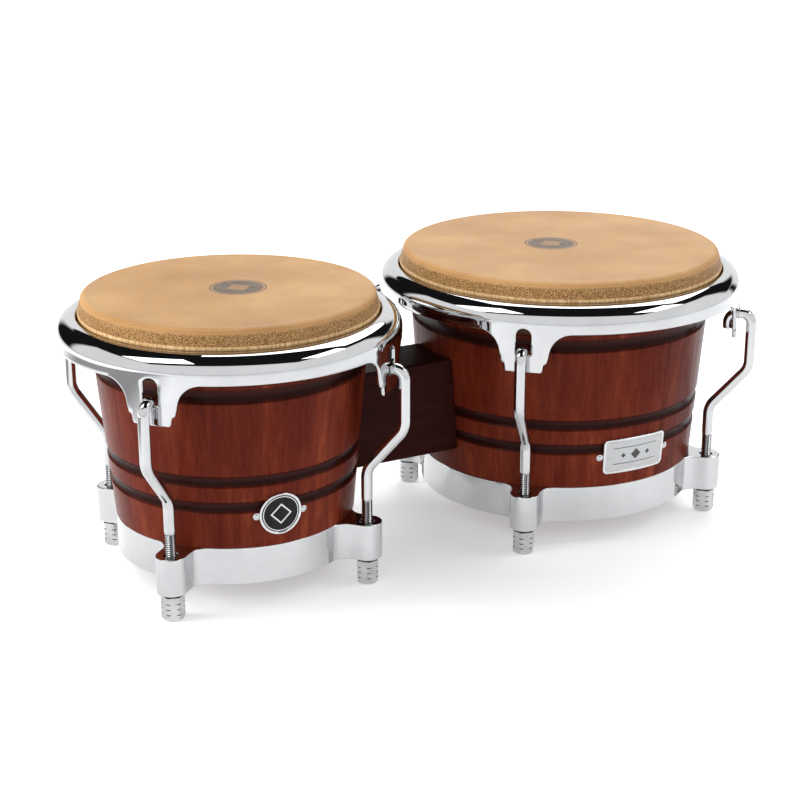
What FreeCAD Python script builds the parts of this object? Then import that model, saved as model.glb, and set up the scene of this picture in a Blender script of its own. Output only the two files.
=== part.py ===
import FreeCAD, Part
import math
import os

import Sketcher

# A pair of bongo drums: the small macho and the large hembra, bolted to a wooden centre block.
# Millimetres, +Z up, X from the macho to the hembra, the front at -Y. The origin is on the floor
# under the middle of the pair. The nuts under the tuning lugs are the feet, so they stand at Z 0.

DRIVING = {
    # shared: a cutter's overrun, the shortest straight run between two roundings, gap between woods
    "overrun": 1.0,
    "short_run": 0.1,
    "wood_gap": 0.08,
    # the pair
    "drum_spacing": 245.9,
    "macho_rim_radius": 107.7,
    "hembra_rim_radius": 123.5,
    "macho_shell_low_radius": 76.3,
    "hembra_shell_low_radius": 94.1,
    "macho_shell_top_radius": 88.9,
    "hembra_shell_top_radius": 104.6,
    "macho_turn": -4.0,
    "hembra_turn": 1.0,
    # tuning nuts and their washers
    "nut_flats": 12.7,
    "nut_height": 17.0,
    "nut_bore_floor": 3.5,
    "nut_bevel": 1.6,
    "nut_ring_depth": 0.35,
    "nut_ring_width": 1.2,
    "nut_ring_low": 4.5,
    "nut_ring_step": 3.5,
    "washer_thick": 1.0,
    "washer_radius": 7.2,
    "washer_hole_radius": 3.9,
    "thread_clearance": 0.06,
    # bottom ring
    "ring_height": 24.0,
    "ring_wall": 2.5,
    "ring_lip": 8.0,
    "ring_fit": 0.1,
    "pad_radius": 9.5,
    "pad_hole_radius": 4.4,
    "web_fillet": 10.5,
    # stave shell
    "stave_count": 16,
    "shell_wall": 11.0,
    "edge_round": 3.0,
    "edge_bevel": 4.0,
    "groove_depth": 2.0,
    "upper_groove_z": 141.0,
    "upper_groove_width": 10.0,
    "middle_groove_z": 86.0,
    "lower_groove_z": 69.0,
    "narrow_groove_width": 8.0,
    # head and flesh hoop
    "head_top": 184.2,
    "skin": 1.5,
    "crown_inset": 16.4,
    "crown_round": 3.2,
    "collar_gap": 0.6,
    "collar_drop": 0.5,
    "tuck_round": 2.0,
    "hoop_radius": 3.0,
    "hoop_gap": 0.1,
    "hoop_room": 0.3,
    # rim
    "rim_width": 13.4,
    "rim_top": 172.0,
    "rim_sheet": 2.5,
    "rim_lip_round": 1.7,
    "rim_lip_low": 160.0,
    "skirt_low": 155.5,
    "ear_low": 130.0,
    "ear_span": 38.0,
    "ear_lap": 1.5,
    "ear_half_width": 11.6,
    "ear_low_step_out": 0.9,
    "ear_low_step_up": 5.0,
    "ear_middle_step_out": 2.9,
    "ear_middle_step_up": 6.4,
    "ear_high_step_out": 3.7,
    "ear_high_step_up": 9.4,
    "ear_root_out": 6.8,
    "ear_flare": 15.0,
    "slot_width": 10.8,
    "slot_low": 140.0,
    "slot_top": 158.5,
    "slot_round": 1.5,
    # tuning lugs
    "rod_radius": 3.57,
    "rod_end": 8.0,
    "lower_bend_z": 76.5,
    "upper_bend_z": 106.0,
    "rod_bend": 14.0,
    "leg_gap": 8.4,
    "leg_offset": 25.2,
    "hook_reach": 15.5,
    "hook_bend": 6.5,
    "hook_seat_gap": 0.35,
    "hook_tip_z": 133.0,
    # centre block and its bolts
    "block_low": 58.0,
    "block_height": 64.0,
    "block_depth": 44.0,
    "bolt_radius": 4.0,
    "bolt_hole_radius": 4.25,
    "bolt_low_z": 75.0,
    "bolt_high_z": 105.0,
    "bolt_head_flats": 13.0,
    "bolt_head_height": 5.3,
    "bolt_length": 36.0,
    "macho_saddle_flat": 60.0,
    "hembra_saddle_flat": 78.0,
    "saddle_width": 34.0,
    "saddle_low": 64.0,
    "saddle_height": 52.0,
    "plain_washer_radius": 8.0,
    "plain_washer_thick": 1.6,
    "insert_radius": 6.0,
    "insert_clearance": 0.05,
    "insert_length": 14.0,
    "insert_recess": 2.5,
    # badge on the macho, nameplate on the hembra
    "plate_thick": 0.8,
    "plate_gap": 0.1,
    "badge_radius": 13.7,
    "badge_pin_y": 15.2,
    "badge_z": 62.7,
    "badge_angle": -93.0,
    "nameplate_half_width": 23.9,
    "nameplate_half_height": 12.2,
    "nameplate_round": 3.5,
    "nameplate_pin_y": 26.3,
    "nameplate_z": 62.7,
    "nameplate_angle": -90.2,
    "tab_radius": 2.6,
    "pin_radius": 0.8,
    "pin_head_radius": 1.6,
    "pin_head_thick": 0.8,
    "pin_length": 5.0,
    "pin_clearance": 0.05,
    "pin_stand": 0.15,
}

doc = FreeCAD.newDocument("bongo_drums")
sheet = doc.addObject("Spreadsheet::Sheet", "dims")
for row, (alias, number) in enumerate(DRIVING.items(), start=1):
    sheet.set(f"A{row}", alias)
    sheet.set(f"B{row}", str(number))
    sheet.setAlias(f"B{row}", alias)
doc.recompute()

SIDES = ["front_left", "front_right", "back_right", "back_left"]
X_AXIS = FreeCAD.Vector(1, 0, 0)
Y_AXIS = FreeCAD.Vector(0, 1, 0)
Z_AXIS = FreeCAD.Vector(0, 0, 1)
ALONG_X = FreeCAD.Rotation(Y_AXIS, 90)
Y_TO_X = FreeCAD.Rotation(FreeCAD.Vector(1, 1, 1), 120)
EDGE_TOLERANCE = 0.05
RING_COUNT = 3
subparts = []

# Heights that follow from the sheet, as expressions.
RING_LOW = "(dims.nut_height + dims.washer_thick)"
RING_TOP = f"({RING_LOW} + dims.ring_height)"
SHELL_LOW = f"({RING_LOW} + dims.ring_wall)"
SHELL_TOP = "(dims.head_top - dims.skin)"
HOOK_TOP = "(dims.slot_low + dims.rod_radius + dims.hook_seat_gap)"
HOOP_Z = "(dims.rim_lip_low - dims.hoop_radius - dims.hoop_gap)"


def size(expression):
    """The number that a sheet expression stands for."""
    return float(probe.evalExpression(expression))


probe = doc.addObject("App::FeaturePython", "probe")


def rim_inner(drum):
    return f"(dims.{drum}_rim_radius - dims.rim_width)"


def leg_radius(drum):
    return f"(dims.{drum}_rim_radius + dims.leg_gap)"


def bolt_circle(drum):
    return f"({leg_radius(drum)} - dims.leg_offset)"


def ring_radius(drum):
    return f"dims.{drum}_shell_low_radius"


def shell_radius(drum, height):
    """Outer radius of the straight-sided shell at a height."""
    low = f"dims.{drum}_shell_low_radius"
    rise = f"(dims.{drum}_shell_top_radius - {low}) / ({SHELL_TOP} - {RING_TOP})"
    return f"({low} + {rise} * ({height} - {RING_TOP}))"


def drum_x(drum):
    middle = "(dims.drum_spacing + dims.hembra_rim_radius - dims.macho_rim_radius) / 2"
    return f"(-{middle})" if drum == "macho" else f"(dims.drum_spacing - {middle})"


def lug_angle(drum, side):
    """Direction of a tuning lug about its drum's axis, in degrees."""
    return f"(dims.{drum}_turn + {90 * SIDES.index(side) - 135})"


def place(piece, drum, angle=0.0, out="0", up="0"):
    """Stand a piece on its drum's axis, or out from it, turned about the axis by angle degrees."""
    turn = size(str(angle))
    piece.Placement = FreeCAD.Placement(FreeCAD.Vector(0, 0, 0), FreeCAD.Rotation(Z_AXIS, turn))
    along = f"({angle}) * 1 deg"
    piece.setExpression("Placement.Base.x", f"{drum_x(drum)} + {out} * cos({along})")
    piece.setExpression("Placement.Base.y", f"{out} * sin({along})")
    piece.setExpression("Placement.Base.z", up)


def subpart(piece, label):
    piece.Label = label
    subparts.append(piece)
    return piece


def bind(feature, **sizes):
    for name, expression in sizes.items():
        feature.setExpression(name, expression)
    return feature


# ---------------------------------------------------------------- sketches


def fix_point(sketch, geometry, point, across, up):
    """Hold a sketch point at (across, up), both bound to the sheet."""
    for kind, expression in (("DistanceX", across), ("DistanceY", up)):
        index = sketch.addConstraint(
            Sketcher.Constraint(kind, -1, 1, geometry, point, size(expression))
        )
        sketch.setExpression(f"Constraints[{index}]", expression)


def outline(sketch, corners, closed=True):
    """Draw straight runs through corners (across, up) or (across, up, rounding radius)."""
    spots = [FreeCAD.Vector(size(c[0]), size(c[1]), 0) for c in corners]
    count = len(corners)
    arcs = {}
    cuts = {i: (spots[i], spots[i]) for i in range(count)}
    for i, corner in enumerate(corners):
        if len(corner) < 3:
            continue
        back = (spots[i - 1] - spots[i]).normalize()
        ahead = (spots[(i + 1) % count] - spots[i]).normalize()
        half = back.getAngle(ahead) / 2
        radius = size(corner[2])
        start = spots[i] + back * (radius / math.tan(half))
        end = spots[i] + ahead * (radius / math.tan(half))
        centre = spots[i] + (back + ahead).normalize() * (radius / math.sin(half))
        turns_left = back.cross(ahead).z < 0
        cuts[i] = (start, end)
        arcs[i] = (centre, radius, start, end, turns_left)
    runs = count if closed else count - 1
    lines = []
    for i in range(runs):
        segment = Part.LineSegment(cuts[i][1], cuts[(i + 1) % count][0])
        lines.append(sketch.addGeometry(segment, False))
    for i in range(count):
        before = lines[i - 1] if closed or i > 0 else None
        after = lines[i] if i < runs else None
        if i in arcs:
            round_corner(sketch, before, after, arcs[i], spots[i], corners[i])
        elif after is None:
            fix_point(sketch, before, 2, corners[i][0], corners[i][1])
        else:
            fix_point(sketch, after, 1, corners[i][0], corners[i][1])
            if before is not None:
                sketch.addConstraint(Sketcher.Constraint("Coincident", before, 2, after, 1))


def round_corner(sketch, before, after, arc, spot, corner):
    """Join two lines with a tangent arc, and hold the sharp corner that it rounds."""
    centre, radius, start, end, turns_left = arc
    first, last = (start, end) if turns_left else (end, start)
    circle = Part.Circle(centre, Z_AXIS, radius)
    angles = [math.atan2(p.y - centre.y, p.x - centre.x) for p in (first, last)]
    bow = sketch.addGeometry(Part.ArcOfCircle(circle, angles[0], angles[1]), False)
    near, far = (1, 2) if turns_left else (2, 1)
    sketch.addConstraint(Sketcher.Constraint("Tangent", before, 2, bow, near))
    sketch.addConstraint(Sketcher.Constraint("Tangent", bow, far, after, 1))
    index = sketch.addConstraint(Sketcher.Constraint("Radius", bow, radius))
    sketch.setExpression(f"Constraints[{index}]", corner[2])
    sharp = sketch.addGeometry(Part.Point(spot), True)
    sketch.addConstraint(Sketcher.Constraint("PointOnObject", sharp, 1, before))
    sketch.addConstraint(Sketcher.Constraint("PointOnObject", sharp, 1, after))
    fix_point(sketch, sharp, 1, corner[0], corner[1])


def circle(sketch, across, up, radius):
    centre = FreeCAD.Vector(size(across), size(up), 0)
    ring = sketch.addGeometry(Part.Circle(centre, Z_AXIS, size(radius)), False)
    fix_point(sketch, ring, 3, across, up)
    index = sketch.addConstraint(Sketcher.Constraint("Radius", ring, size(radius)))
    sketch.setExpression(f"Constraints[{index}]", radius)


# ---------------------------------------------------------------- PartDesign helpers


def new_body(name):
    return doc.addObject("PartDesign::Body", name)


def origin_part(body, role):
    return next(f for f in body.Origin.OriginFeatures if f.Role == role)


def sketch_on(body, role, up=None):
    """A sketch on one of the body's own origin planes, raised by an expression if given."""
    sketch = body.newObject("Sketcher::SketchObject", f"{body.Name}_sketch")
    sketch.AttachmentSupport = [(origin_part(body, role), "")]
    sketch.MapMode = "FlatFace"
    if up:
        sketch.setExpression("AttachmentOffset.Base.z", up)
    return sketch


def turned(body, sketch, kind="Revolution", angle=None):
    """Revolve a sketch about the body's Z axis, adding or cutting (kind Groove)."""
    feature = body.newObject(f"PartDesign::{kind}", f"{body.Name}_{kind}")
    feature.Profile = sketch
    feature.ReferenceAxis = (sketch, ["V_Axis"])
    if angle:
        feature.Midplane = True
        feature.setExpression("Angle", angle)
    else:
        feature.Angle = 360
    doc.recompute()
    return feature


def extruded(body, sketch, length, kind="Pad", forward=True):
    """Pad or pocket a sketch along its normal (forward) or against it."""
    feature = body.newObject(f"PartDesign::{kind}", f"{body.Name}_{kind}")
    feature.Profile = sketch
    feature.Reversed = not forward if kind == "Pad" else forward
    feature.setExpression("Length", length)
    before = 0 if kind == "Pad" else feature.BaseFeature.Shape.Volume
    doc.recompute()
    if kind == "Pocket" and feature.Shape.Volume >= before:
        raise RuntimeError(f"{feature.Name} cuts nothing")
    return feature


def repeated(body, originals, count):
    pattern = body.newObject("PartDesign::PolarPattern", f"{body.Name}_pattern")
    pattern.Originals = originals
    pattern.Axis = (origin_part(body, "Z_Axis"), [""])
    pattern.Angle = 360
    pattern.Occurrences = count
    body.Tip = pattern
    doc.recompute()
    return pattern


# ---------------------------------------------------------------- Part helpers


def rod_along_x(name, radius, length, start, z, y="0"):
    """A cylinder lying along X, from start, at a height."""
    rod = bind(doc.addObject("Part::Cylinder", name), Radius=radius, Height=length)
    rod.Placement.Rotation = ALONG_X
    rod.setExpression("Placement.Base.x", start)
    rod.setExpression("Placement.Base.y", y)
    rod.setExpression("Placement.Base.z", z)
    return rod


def box(name, x, y, z, length, width, height):
    piece = bind(doc.addObject("Part::Box", name), Length=length, Width=width, Height=height)
    piece.setExpression("Placement.Base.x", x)
    piece.setExpression("Placement.Base.y", y)
    piece.setExpression("Placement.Base.z", z)
    return piece


def shell_cone(name, drum, offset, x="0"):
    """The cone of a shell's outer face, offset in radius, from the ring's top to the shell's top."""
    cone = doc.addObject("Part::Cone", name)
    bind(
        cone,
        Radius1=f"dims.{drum}_shell_low_radius + {offset}",
        Radius2=f"dims.{drum}_shell_top_radius + {offset}",
        Height=f"{SHELL_TOP} - {RING_TOP}",
    )
    cone.setExpression("Placement.Base.x", x)
    cone.setExpression("Placement.Base.z", RING_TOP)
    return cone


def cut(name, base, tool):
    feature = doc.addObject("Part::Cut", name)
    feature.Base = base
    feature.Tool = tool
    return feature


def common(name, base, tool):
    feature = doc.addObject("Part::Common", name)
    feature.Base = base
    feature.Tool = tool
    return feature


def fused(name, pieces):
    feature = doc.addObject("Part::MultiFuse", name)
    feature.Shapes = pieces
    return feature


def group(name, pieces):
    """Identical fasteners as one sub-part of separate solids."""
    feature = doc.addObject("Part::Compound", name)
    feature.Links = pieces
    return feature


# ---------------------------------------------------------------- one drum


def make_shell(drum):
    """Sixteen tapered staves glued edge to edge, with three turned coves and a rebated foot."""
    stave = new_body(f"{drum}_stave")
    section = sketch_on(stave, "XZ_Plane")
    foot = f"({ring_radius(drum)} - dims.ring_wall - dims.ring_fit)"
    top = f"dims.{drum}_shell_top_radius"
    inner_low = f"({shell_radius(drum, SHELL_LOW)} - dims.shell_wall)"
    inner_top = f"({top} - dims.shell_wall)"
    outline(
        section,
        [
            (foot, SHELL_LOW),
            (foot, RING_TOP),
            (ring_radius(drum), RING_TOP),
            (top, SHELL_TOP, "dims.edge_round"),
            (f"{inner_top} + dims.edge_bevel", SHELL_TOP),
            (inner_top, f"{SHELL_TOP} - dims.edge_bevel"),
            (inner_low, SHELL_LOW),
        ],
    )
    turned(stave, section, angle="360 deg / dims.stave_count")
    coves = sketch_on(stave, "XZ_Plane")
    for height, width in (
        ("dims.upper_groove_z", "dims.upper_groove_width"),
        ("dims.middle_groove_z", "dims.narrow_groove_width"),
        ("dims.lower_groove_z", "dims.narrow_groove_width"),
    ):
        radius = f"(({width}^2 / 4 + dims.groove_depth^2) / (2 * dims.groove_depth))"
        centre = f"({shell_radius(drum, height)} + {radius} - dims.groove_depth)"
        circle(coves, centre, height, radius)
    turned(stave, coves, kind="Groove")
    step = 360 / size("dims.stave_count")
    toward_block = 0 if drum == "macho" else size("dims.stave_count") / 2
    staves = []
    for number in range(int(size("dims.stave_count"))):
        piece = stave.Shape.copy()
        piece.rotate(FreeCAD.Vector(0, 0, 0), Z_AXIS, number * step)
        if number == toward_block:
            for height in ("dims.bolt_low_z", "dims.bolt_high_z"):
                piece = piece.cut(bolt_hole(drum, size(height)))
        staves.append(piece)
    shell = doc.addObject("Part::Feature", f"{drum}_shell_staves")
    shell.Shape = Part.makeCompound([s.Solids[0] for s in staves])
    place(shell, drum)
    return subpart(shell, f"{drum}_shell")


def bolt_hole(drum, height):
    outward = X_AXIS if drum == "macho" else -X_AXIS
    reach = size(f"dims.{drum}_rim_radius")
    foot = FreeCAD.Vector(0, 0, height)
    return Part.makeCylinder(size("dims.bolt_hole_radius"), reach, foot, outward)


def make_bottom_ring(drum):
    """A band round the shell's foot with a lip under it, and four drilled pads on filleted webs."""
    body = new_body(f"{drum}_ring_body")
    outer = ring_radius(drum)
    section = sketch_on(body, "XZ_Plane")
    outline(
        section,
        [
            (f"{outer} - dims.ring_lip", RING_LOW),
            (outer, RING_LOW),
            (outer, RING_TOP),
            (f"{outer} - dims.ring_wall", RING_TOP),
            (f"{outer} - dims.ring_wall", f"{RING_LOW} + dims.ring_wall"),
            (f"{outer} - dims.ring_lip", f"{RING_LOW} + dims.ring_wall"),
        ],
    )
    turned(body, section)
    tip = f"{bolt_circle(drum)} + dims.pad_radius"
    nose = "dims.pad_radius - dims.short_run"
    pad_outline = sketch_on(body, "XY_Plane", RING_LOW)
    outline(
        pad_outline,
        [
            (f"{outer} - dims.ring_wall / 2", "-dims.pad_radius"),
            (tip, "-dims.pad_radius", nose),
            (tip, "dims.pad_radius", nose),
            (f"{outer} - dims.ring_wall / 2", "dims.pad_radius"),
        ],
    )
    pad = extruded(body, pad_outline, "dims.ring_height")
    hole_outline = sketch_on(body, "XY_Plane", RING_LOW)
    circle(hole_outline, bolt_circle(drum), "0", "dims.pad_hole_radius")
    hole = extruded(body, hole_outline, "dims.ring_height", kind="Pocket")
    pads = repeated(body, [pad, hole], 4)
    corners = []
    for number, edge in enumerate(pads.Shape.Edges, start=1):
        middle = edge.CenterOfMass
        reach = math.hypot(middle.x, middle.y)
        upright = edge.BoundBox.ZLength > size("dims.ring_height") - EDGE_TOLERANCE
        on_band = abs(reach - size(outer)) < EDGE_TOLERANCE
        if upright and on_band and len(edge.Vertexes) == 2:
            corners.append(f"Edge{number}")
    fillet = body.newObject("PartDesign::Fillet", f"{drum}_web_fillet")
    fillet.Base = (pads, corners)
    bind(fillet, Radius="dims.web_fillet")
    body.Tip = fillet
    place(body, drum, lug_angle(drum, "back_right"))
    return subpart(body, f"{drum}_bottom_ring")


def make_head(drum):
    """Rawhide: flat top, steep collar, and the edge tucked round the flesh hoop."""
    body = new_body(f"{drum}_head_body")
    section = sketch_on(body, "XZ_Plane")
    crown = f"(dims.{drum}_rim_radius - dims.crown_inset)"
    collar = f"({rim_inner(drum)} - dims.collar_gap)"
    collar_top = "dims.rim_top - dims.collar_drop"
    under_hoop = f"({HOOP_Z} - dims.hoop_radius - dims.hoop_room)"
    past_hoop = f"({collar} + 2 * dims.hoop_radius + 2 * dims.hoop_room)"
    outer_tuck = "dims.tuck_round + dims.skin"
    outline(
        section,
        [
            ("0", "dims.head_top"),
            (crown, "dims.head_top", "dims.crown_round"),
            (collar, collar_top),
            (collar, under_hoop, "dims.tuck_round"),
            (past_hoop, under_hoop, "dims.tuck_round"),
            (past_hoop, "dims.rim_lip_low"),
            (f"{past_hoop} + dims.skin", "dims.rim_lip_low"),
            (f"{past_hoop} + dims.skin", f"{under_hoop} - dims.skin", outer_tuck),
            (f"{collar} - dims.skin", f"{under_hoop} - dims.skin", outer_tuck),
            (f"{collar} - dims.skin", collar_top),
            (f"{crown} - dims.skin", SHELL_TOP, "dims.crown_round - dims.skin"),
            ("0", SHELL_TOP),
        ],
    )
    turned(body, section)
    place(body, drum)
    return subpart(body, f"{drum}_head_skin")


def make_flesh_hoop(drum):
    hoop = doc.addObject("Part::Torus", f"{drum}_hoop_ring")
    bind(
        hoop,
        Radius1=f"{rim_inner(drum)} - dims.collar_gap + dims.hoop_radius + dims.hoop_room",
        Radius2="dims.hoop_radius",
    )
    place(hoop, drum, up=HOOP_Z)
    return subpart(hoop, f"{drum}_flesh_hoop")


def make_rim(drum):
    """A rolled sheet-metal channel over the flesh hoop, with four ears slotted for the lugs."""
    body = new_body(f"{drum}_rim_body")
    inner = rim_inner(drum)
    outer = f"dims.{drum}_rim_radius"
    section = sketch_on(body, "XZ_Plane")
    shoulder = "dims.rim_width - dims.rim_lip_round"
    outline(
        section,
        [
            (inner, "dims.rim_lip_low"),
            (f"{inner} + dims.rim_sheet", "dims.rim_lip_low"),
            (f"{inner} + dims.rim_sheet", "dims.rim_top - dims.rim_sheet"),
            (
                f"{outer} - dims.rim_sheet",
                "dims.rim_top - dims.rim_sheet",
                "dims.rim_width - 2 * dims.rim_sheet - dims.short_run",
            ),
            (f"{outer} - dims.rim_sheet", "dims.skirt_low"),
            (outer, "dims.skirt_low"),
            (outer, "dims.rim_top", f"{shoulder} - dims.short_run"),
            (inner, "dims.rim_top", "dims.rim_lip_round"),
        ],
    )
    turned(body, section)
    ear_section = sketch_on(body, "XZ_Plane")
    plate_top = "dims.skirt_low + dims.ear_lap"
    outline(
        ear_section,
        [
            (f"{outer} - dims.rim_sheet", "dims.ear_low"),
            (outer, "dims.ear_low"),
            (outer, plate_top),
            (f"{outer} - dims.rim_sheet", plate_top),
        ],
    )
    plate = turned(body, ear_section, angle="dims.ear_span * 1 deg")
    openings = sketch_on(body, "YZ_Plane")
    for hand in ("", "-"):
        trim_ear_side(openings, hand, outer)
    slot_outline(openings)
    trim = extruded(body, openings, f"{outer} + dims.overrun", kind="Pocket")
    repeated(body, [plate, trim], 4)
    place(body, drum, lug_angle(drum, "back_right"))
    return subpart(body, f"{drum}_rim")


def trim_ear_side(sketch, hand, outer):
    """What is cut away beside an ear: its edge steps out twice, then flares into the skirt."""
    half = "dims.ear_half_width"
    side = f"{outer} / 2"
    below = "dims.ear_low - dims.overrun"
    steps = [
        (f"{half} + dims.ear_{step}_step_out", f"dims.ear_low + dims.ear_{step}_step_up")
        for step in ("low", "middle", "high")
    ]
    root = (f"{half} + dims.ear_root_out", "dims.skirt_low", "dims.ear_flare")
    profile = [(half, below), *steps, root, (side, "dims.skirt_low"), (side, below)]
    corners = [(f"{hand}({corner[0]})",) + corner[1:] for corner in profile]
    outline(sketch, corners if hand == "" else corners[::-1])


def slot_outline(sketch):
    half = "dims.slot_width / 2"
    outline(
        sketch,
        [
            (f"-{half}", "dims.slot_low", "dims.slot_round"),
            (half, "dims.slot_low", "dims.slot_round"),
            (half, "dims.slot_top", f"{half} - dims.short_run / 2"),
            (f"-{half}", "dims.slot_top", f"{half} - dims.short_run / 2"),
        ],
    )


def make_lug(drum, side):
    """A rod threaded at its foot, cranked outwards, and hooked down through the ear's slot."""
    body = new_body(f"{drum}_lug_{side}_body")
    foot = sketch_on(body, "XY_Plane", "dims.rod_end")
    circle(foot, bolt_circle(drum), "0", "dims.rod_radius")
    path = sketch_on(body, "XZ_Plane")
    leg = leg_radius(drum)
    tip = f"{leg} - dims.hook_reach"
    outline(
        path,
        [
            (bolt_circle(drum), "dims.rod_end"),
            (bolt_circle(drum), "dims.lower_bend_z", "dims.rod_bend"),
            (leg, "dims.upper_bend_z", "dims.rod_bend"),
            (leg, HOOK_TOP, "dims.hook_bend"),
            (tip, HOOK_TOP, "dims.hook_bend"),
            (tip, "dims.hook_tip_z"),
        ],
        closed=False,
    )
    rod = body.newObject("PartDesign::AdditivePipe", f"{drum}_lug_{side}_rod")
    rod.Profile = foot
    rod.Spine = path
    place(body, drum, lug_angle(drum, side))
    return subpart(body, f"{drum}_lug_{side}")


def make_nut(drum, side):
    """A long hexagon nut, bored blind from the top, with a bevelled foot and ring grooves."""
    body = new_body(f"{drum}_nut_{side}_body")
    hexagon = sketch_on(body, "XY_Plane")
    across = "dims.nut_flats / 2 / cos(30 deg)"
    corners = [
        (f"{across} * cos({60 * k} deg)", f"{across} * sin({60 * k} deg)") for k in range(6)
    ]
    outline(hexagon, corners)
    extruded(body, hexagon, "dims.nut_height")
    bore = sketch_on(body, "XY_Plane", "dims.nut_height")
    circle(bore, "0", "0", "dims.rod_radius + dims.thread_clearance")
    extruded(body, bore, "dims.nut_height - dims.nut_bore_floor", kind="Pocket", forward=False)
    bevel = sketch_on(body, "XZ_Plane")
    outline(
        bevel,
        [
            (f"{across} - dims.nut_bevel", "-dims.overrun"),
            (f"{across} - dims.nut_bevel", "0"),
            (across, "dims.nut_bevel"),
            (f"{across} + dims.overrun", "dims.nut_bevel"),
            (f"{across} + dims.overrun", "-dims.overrun"),
        ],
    )
    turned(body, bevel, kind="Groove")
    rings = sketch_on(body, "XZ_Plane")
    inside = f"{across} - dims.nut_ring_depth"
    outside = f"{across} + dims.overrun"
    for number in range(RING_COUNT):
        low = f"dims.nut_ring_low + {number} * dims.nut_ring_step"
        high = f"{low} + dims.nut_ring_width"
        outline(rings, [(inside, low), (outside, low), (outside, high), (inside, high)])
    turned(body, rings, kind="Groove")
    place(body, drum, lug_angle(drum, side), out=bolt_circle(drum))
    return subpart(body, f"{drum}_nut_{side}")


def make_lug_washers(drum):
    washers = []
    for side in SIDES:
        disc = bind(
            doc.addObject("Part::Cylinder", f"{drum}_washer_disc"),
            Radius="dims.washer_radius",
            Height="dims.washer_thick",
        )
        eye = bind(
            doc.addObject("Part::Cylinder", f"{drum}_washer_eye"),
            Radius="dims.washer_hole_radius",
            Height="dims.washer_thick",
        )
        washer = cut(f"{drum}_washer_{side}", disc, eye)
        along = f"{lug_angle(drum, side)} * 1 deg"
        washer.setExpression("Placement.Base.x", f"{bolt_circle(drum)} * cos({along})")
        washer.setExpression("Placement.Base.y", f"{bolt_circle(drum)} * sin({along})")
        washer.setExpression("Placement.Base.z", "dims.nut_height")
        washers.append(washer)
    washer_set = group(f"{drum}_washer_set", washers)
    place(washer_set, drum)
    return subpart(washer_set, f"{drum}_lug_washers")


# ---------------------------------------------------------------- block joint


def block_side(drum):
    """The block is on the macho's +X side and the hembra's -X side."""
    return "0" if drum == "macho" else "180"


def make_saddle(drum):
    """A hardwood saddle inside the shell: curved to the wall, flat under the bolt heads."""
    blank = box(
        f"{drum}_saddle_blank",
        f"dims.{drum}_saddle_flat",
        "-dims.saddle_width / 2",
        "dims.saddle_low",
        f"dims.{drum}_shell_top_radius - dims.{drum}_saddle_flat",
        "dims.saddle_width",
        "dims.saddle_height",
    )
    wall = shell_cone(f"{drum}_inner_cone", drum, "(-dims.shell_wall - dims.wood_gap)")
    reach = f"dims.{drum}_shell_top_radius"
    holes = [
        rod_along_x(f"{drum}_saddle_hole", "dims.bolt_hole_radius", reach, "0", height)
        for height in ("dims.bolt_low_z", "dims.bolt_high_z")
    ]
    curved = common(f"{drum}_saddle_curved", blank, wall)
    saddle = cut(f"{drum}_saddle_drilled", curved, fused(f"{drum}_saddle_holes", holes))
    place(saddle, drum, block_side(drum))
    return subpart(saddle, f"{drum}_inner_saddle")


def make_block_bolts(drum):
    bolts = []
    under_head = f"(dims.{drum}_saddle_flat - dims.plain_washer_thick)"
    for height in ("dims.bolt_low_z", "dims.bolt_high_z"):
        head = bind(
            doc.addObject("Part::Prism", f"{drum}_bolt_head"),
            Circumradius="dims.bolt_head_flats / 2 / cos(30 deg)",
            Height="dims.bolt_head_height",
        )
        head.Polygon = 6
        head.Placement.Rotation = ALONG_X
        head.setExpression("Placement.Base.x", f"{under_head} - dims.bolt_head_height")
        head.setExpression("Placement.Base.z", height)
        overlap = "dims.bolt_head_height / 2"
        shank = rod_along_x(
            f"{drum}_bolt_shank",
            "dims.bolt_radius",
            f"dims.bolt_length + {overlap}",
            f"{under_head} - {overlap}",
            height,
        )
        bolts.append(fused(f"{drum}_bolt", [head, shank]))
    bolt_set = group(f"{drum}_bolt_set", bolts)
    place(bolt_set, drum, block_side(drum))
    return subpart(bolt_set, f"{drum}_block_bolts")


def make_bolt_washers(drum):
    washers = []
    start = f"(dims.{drum}_saddle_flat - dims.plain_washer_thick)"
    for height in ("dims.bolt_low_z", "dims.bolt_high_z"):
        thick = "dims.plain_washer_thick"
        disc = rod_along_x(f"{drum}_plain_disc", "dims.plain_washer_radius", thick, start, height)
        eye = rod_along_x(f"{drum}_plain_eye", "dims.bolt_hole_radius", thick, start, height)
        washers.append(cut(f"{drum}_plain_washer", disc, eye))
    washer_set = group(f"{drum}_plain_washers", washers)
    place(washer_set, drum, block_side(drum))
    return subpart(washer_set, f"{drum}_bolt_washers")


def insert_start(drum, height):
    """How far from the drum's axis its threaded inserts begin, just inside the block."""
    return f"({shell_radius(drum, height)} + dims.insert_recess)"


def make_block():
    """The wooden block between the shells, with ends scooped to fit them."""
    blank = box(
        "block_blank",
        drum_x("macho"),
        "-dims.block_depth / 2",
        "dims.block_low",
        "dims.drum_spacing",
        "dims.block_depth",
        "dims.block_height",
    )
    tools = [
        shell_cone(f"{drum}_cone", drum, "dims.wood_gap", drum_x(drum))
        for drum in ("macho", "hembra")
    ]
    for drum, height, way in insert_places():
        reach = f"{insert_start(drum, height)} + dims.insert_length + dims.insert_clearance"
        bore = "dims.insert_radius + dims.insert_clearance"
        start = drum_x(drum) if way > 0 else f"{drum_x(drum)} - ({reach})"
        tools.append(rod_along_x(f"{drum}_insert_bore", bore, reach, start, height))
    block = cut("block_shaped", blank, fused("block_tools", tools))
    return subpart(block, "center_block")


def insert_places():
    for drum, way in (("macho", 1), ("hembra", -1)):
        for height in ("dims.bolt_low_z", "dims.bolt_high_z"):
            yield drum, height, way


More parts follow.
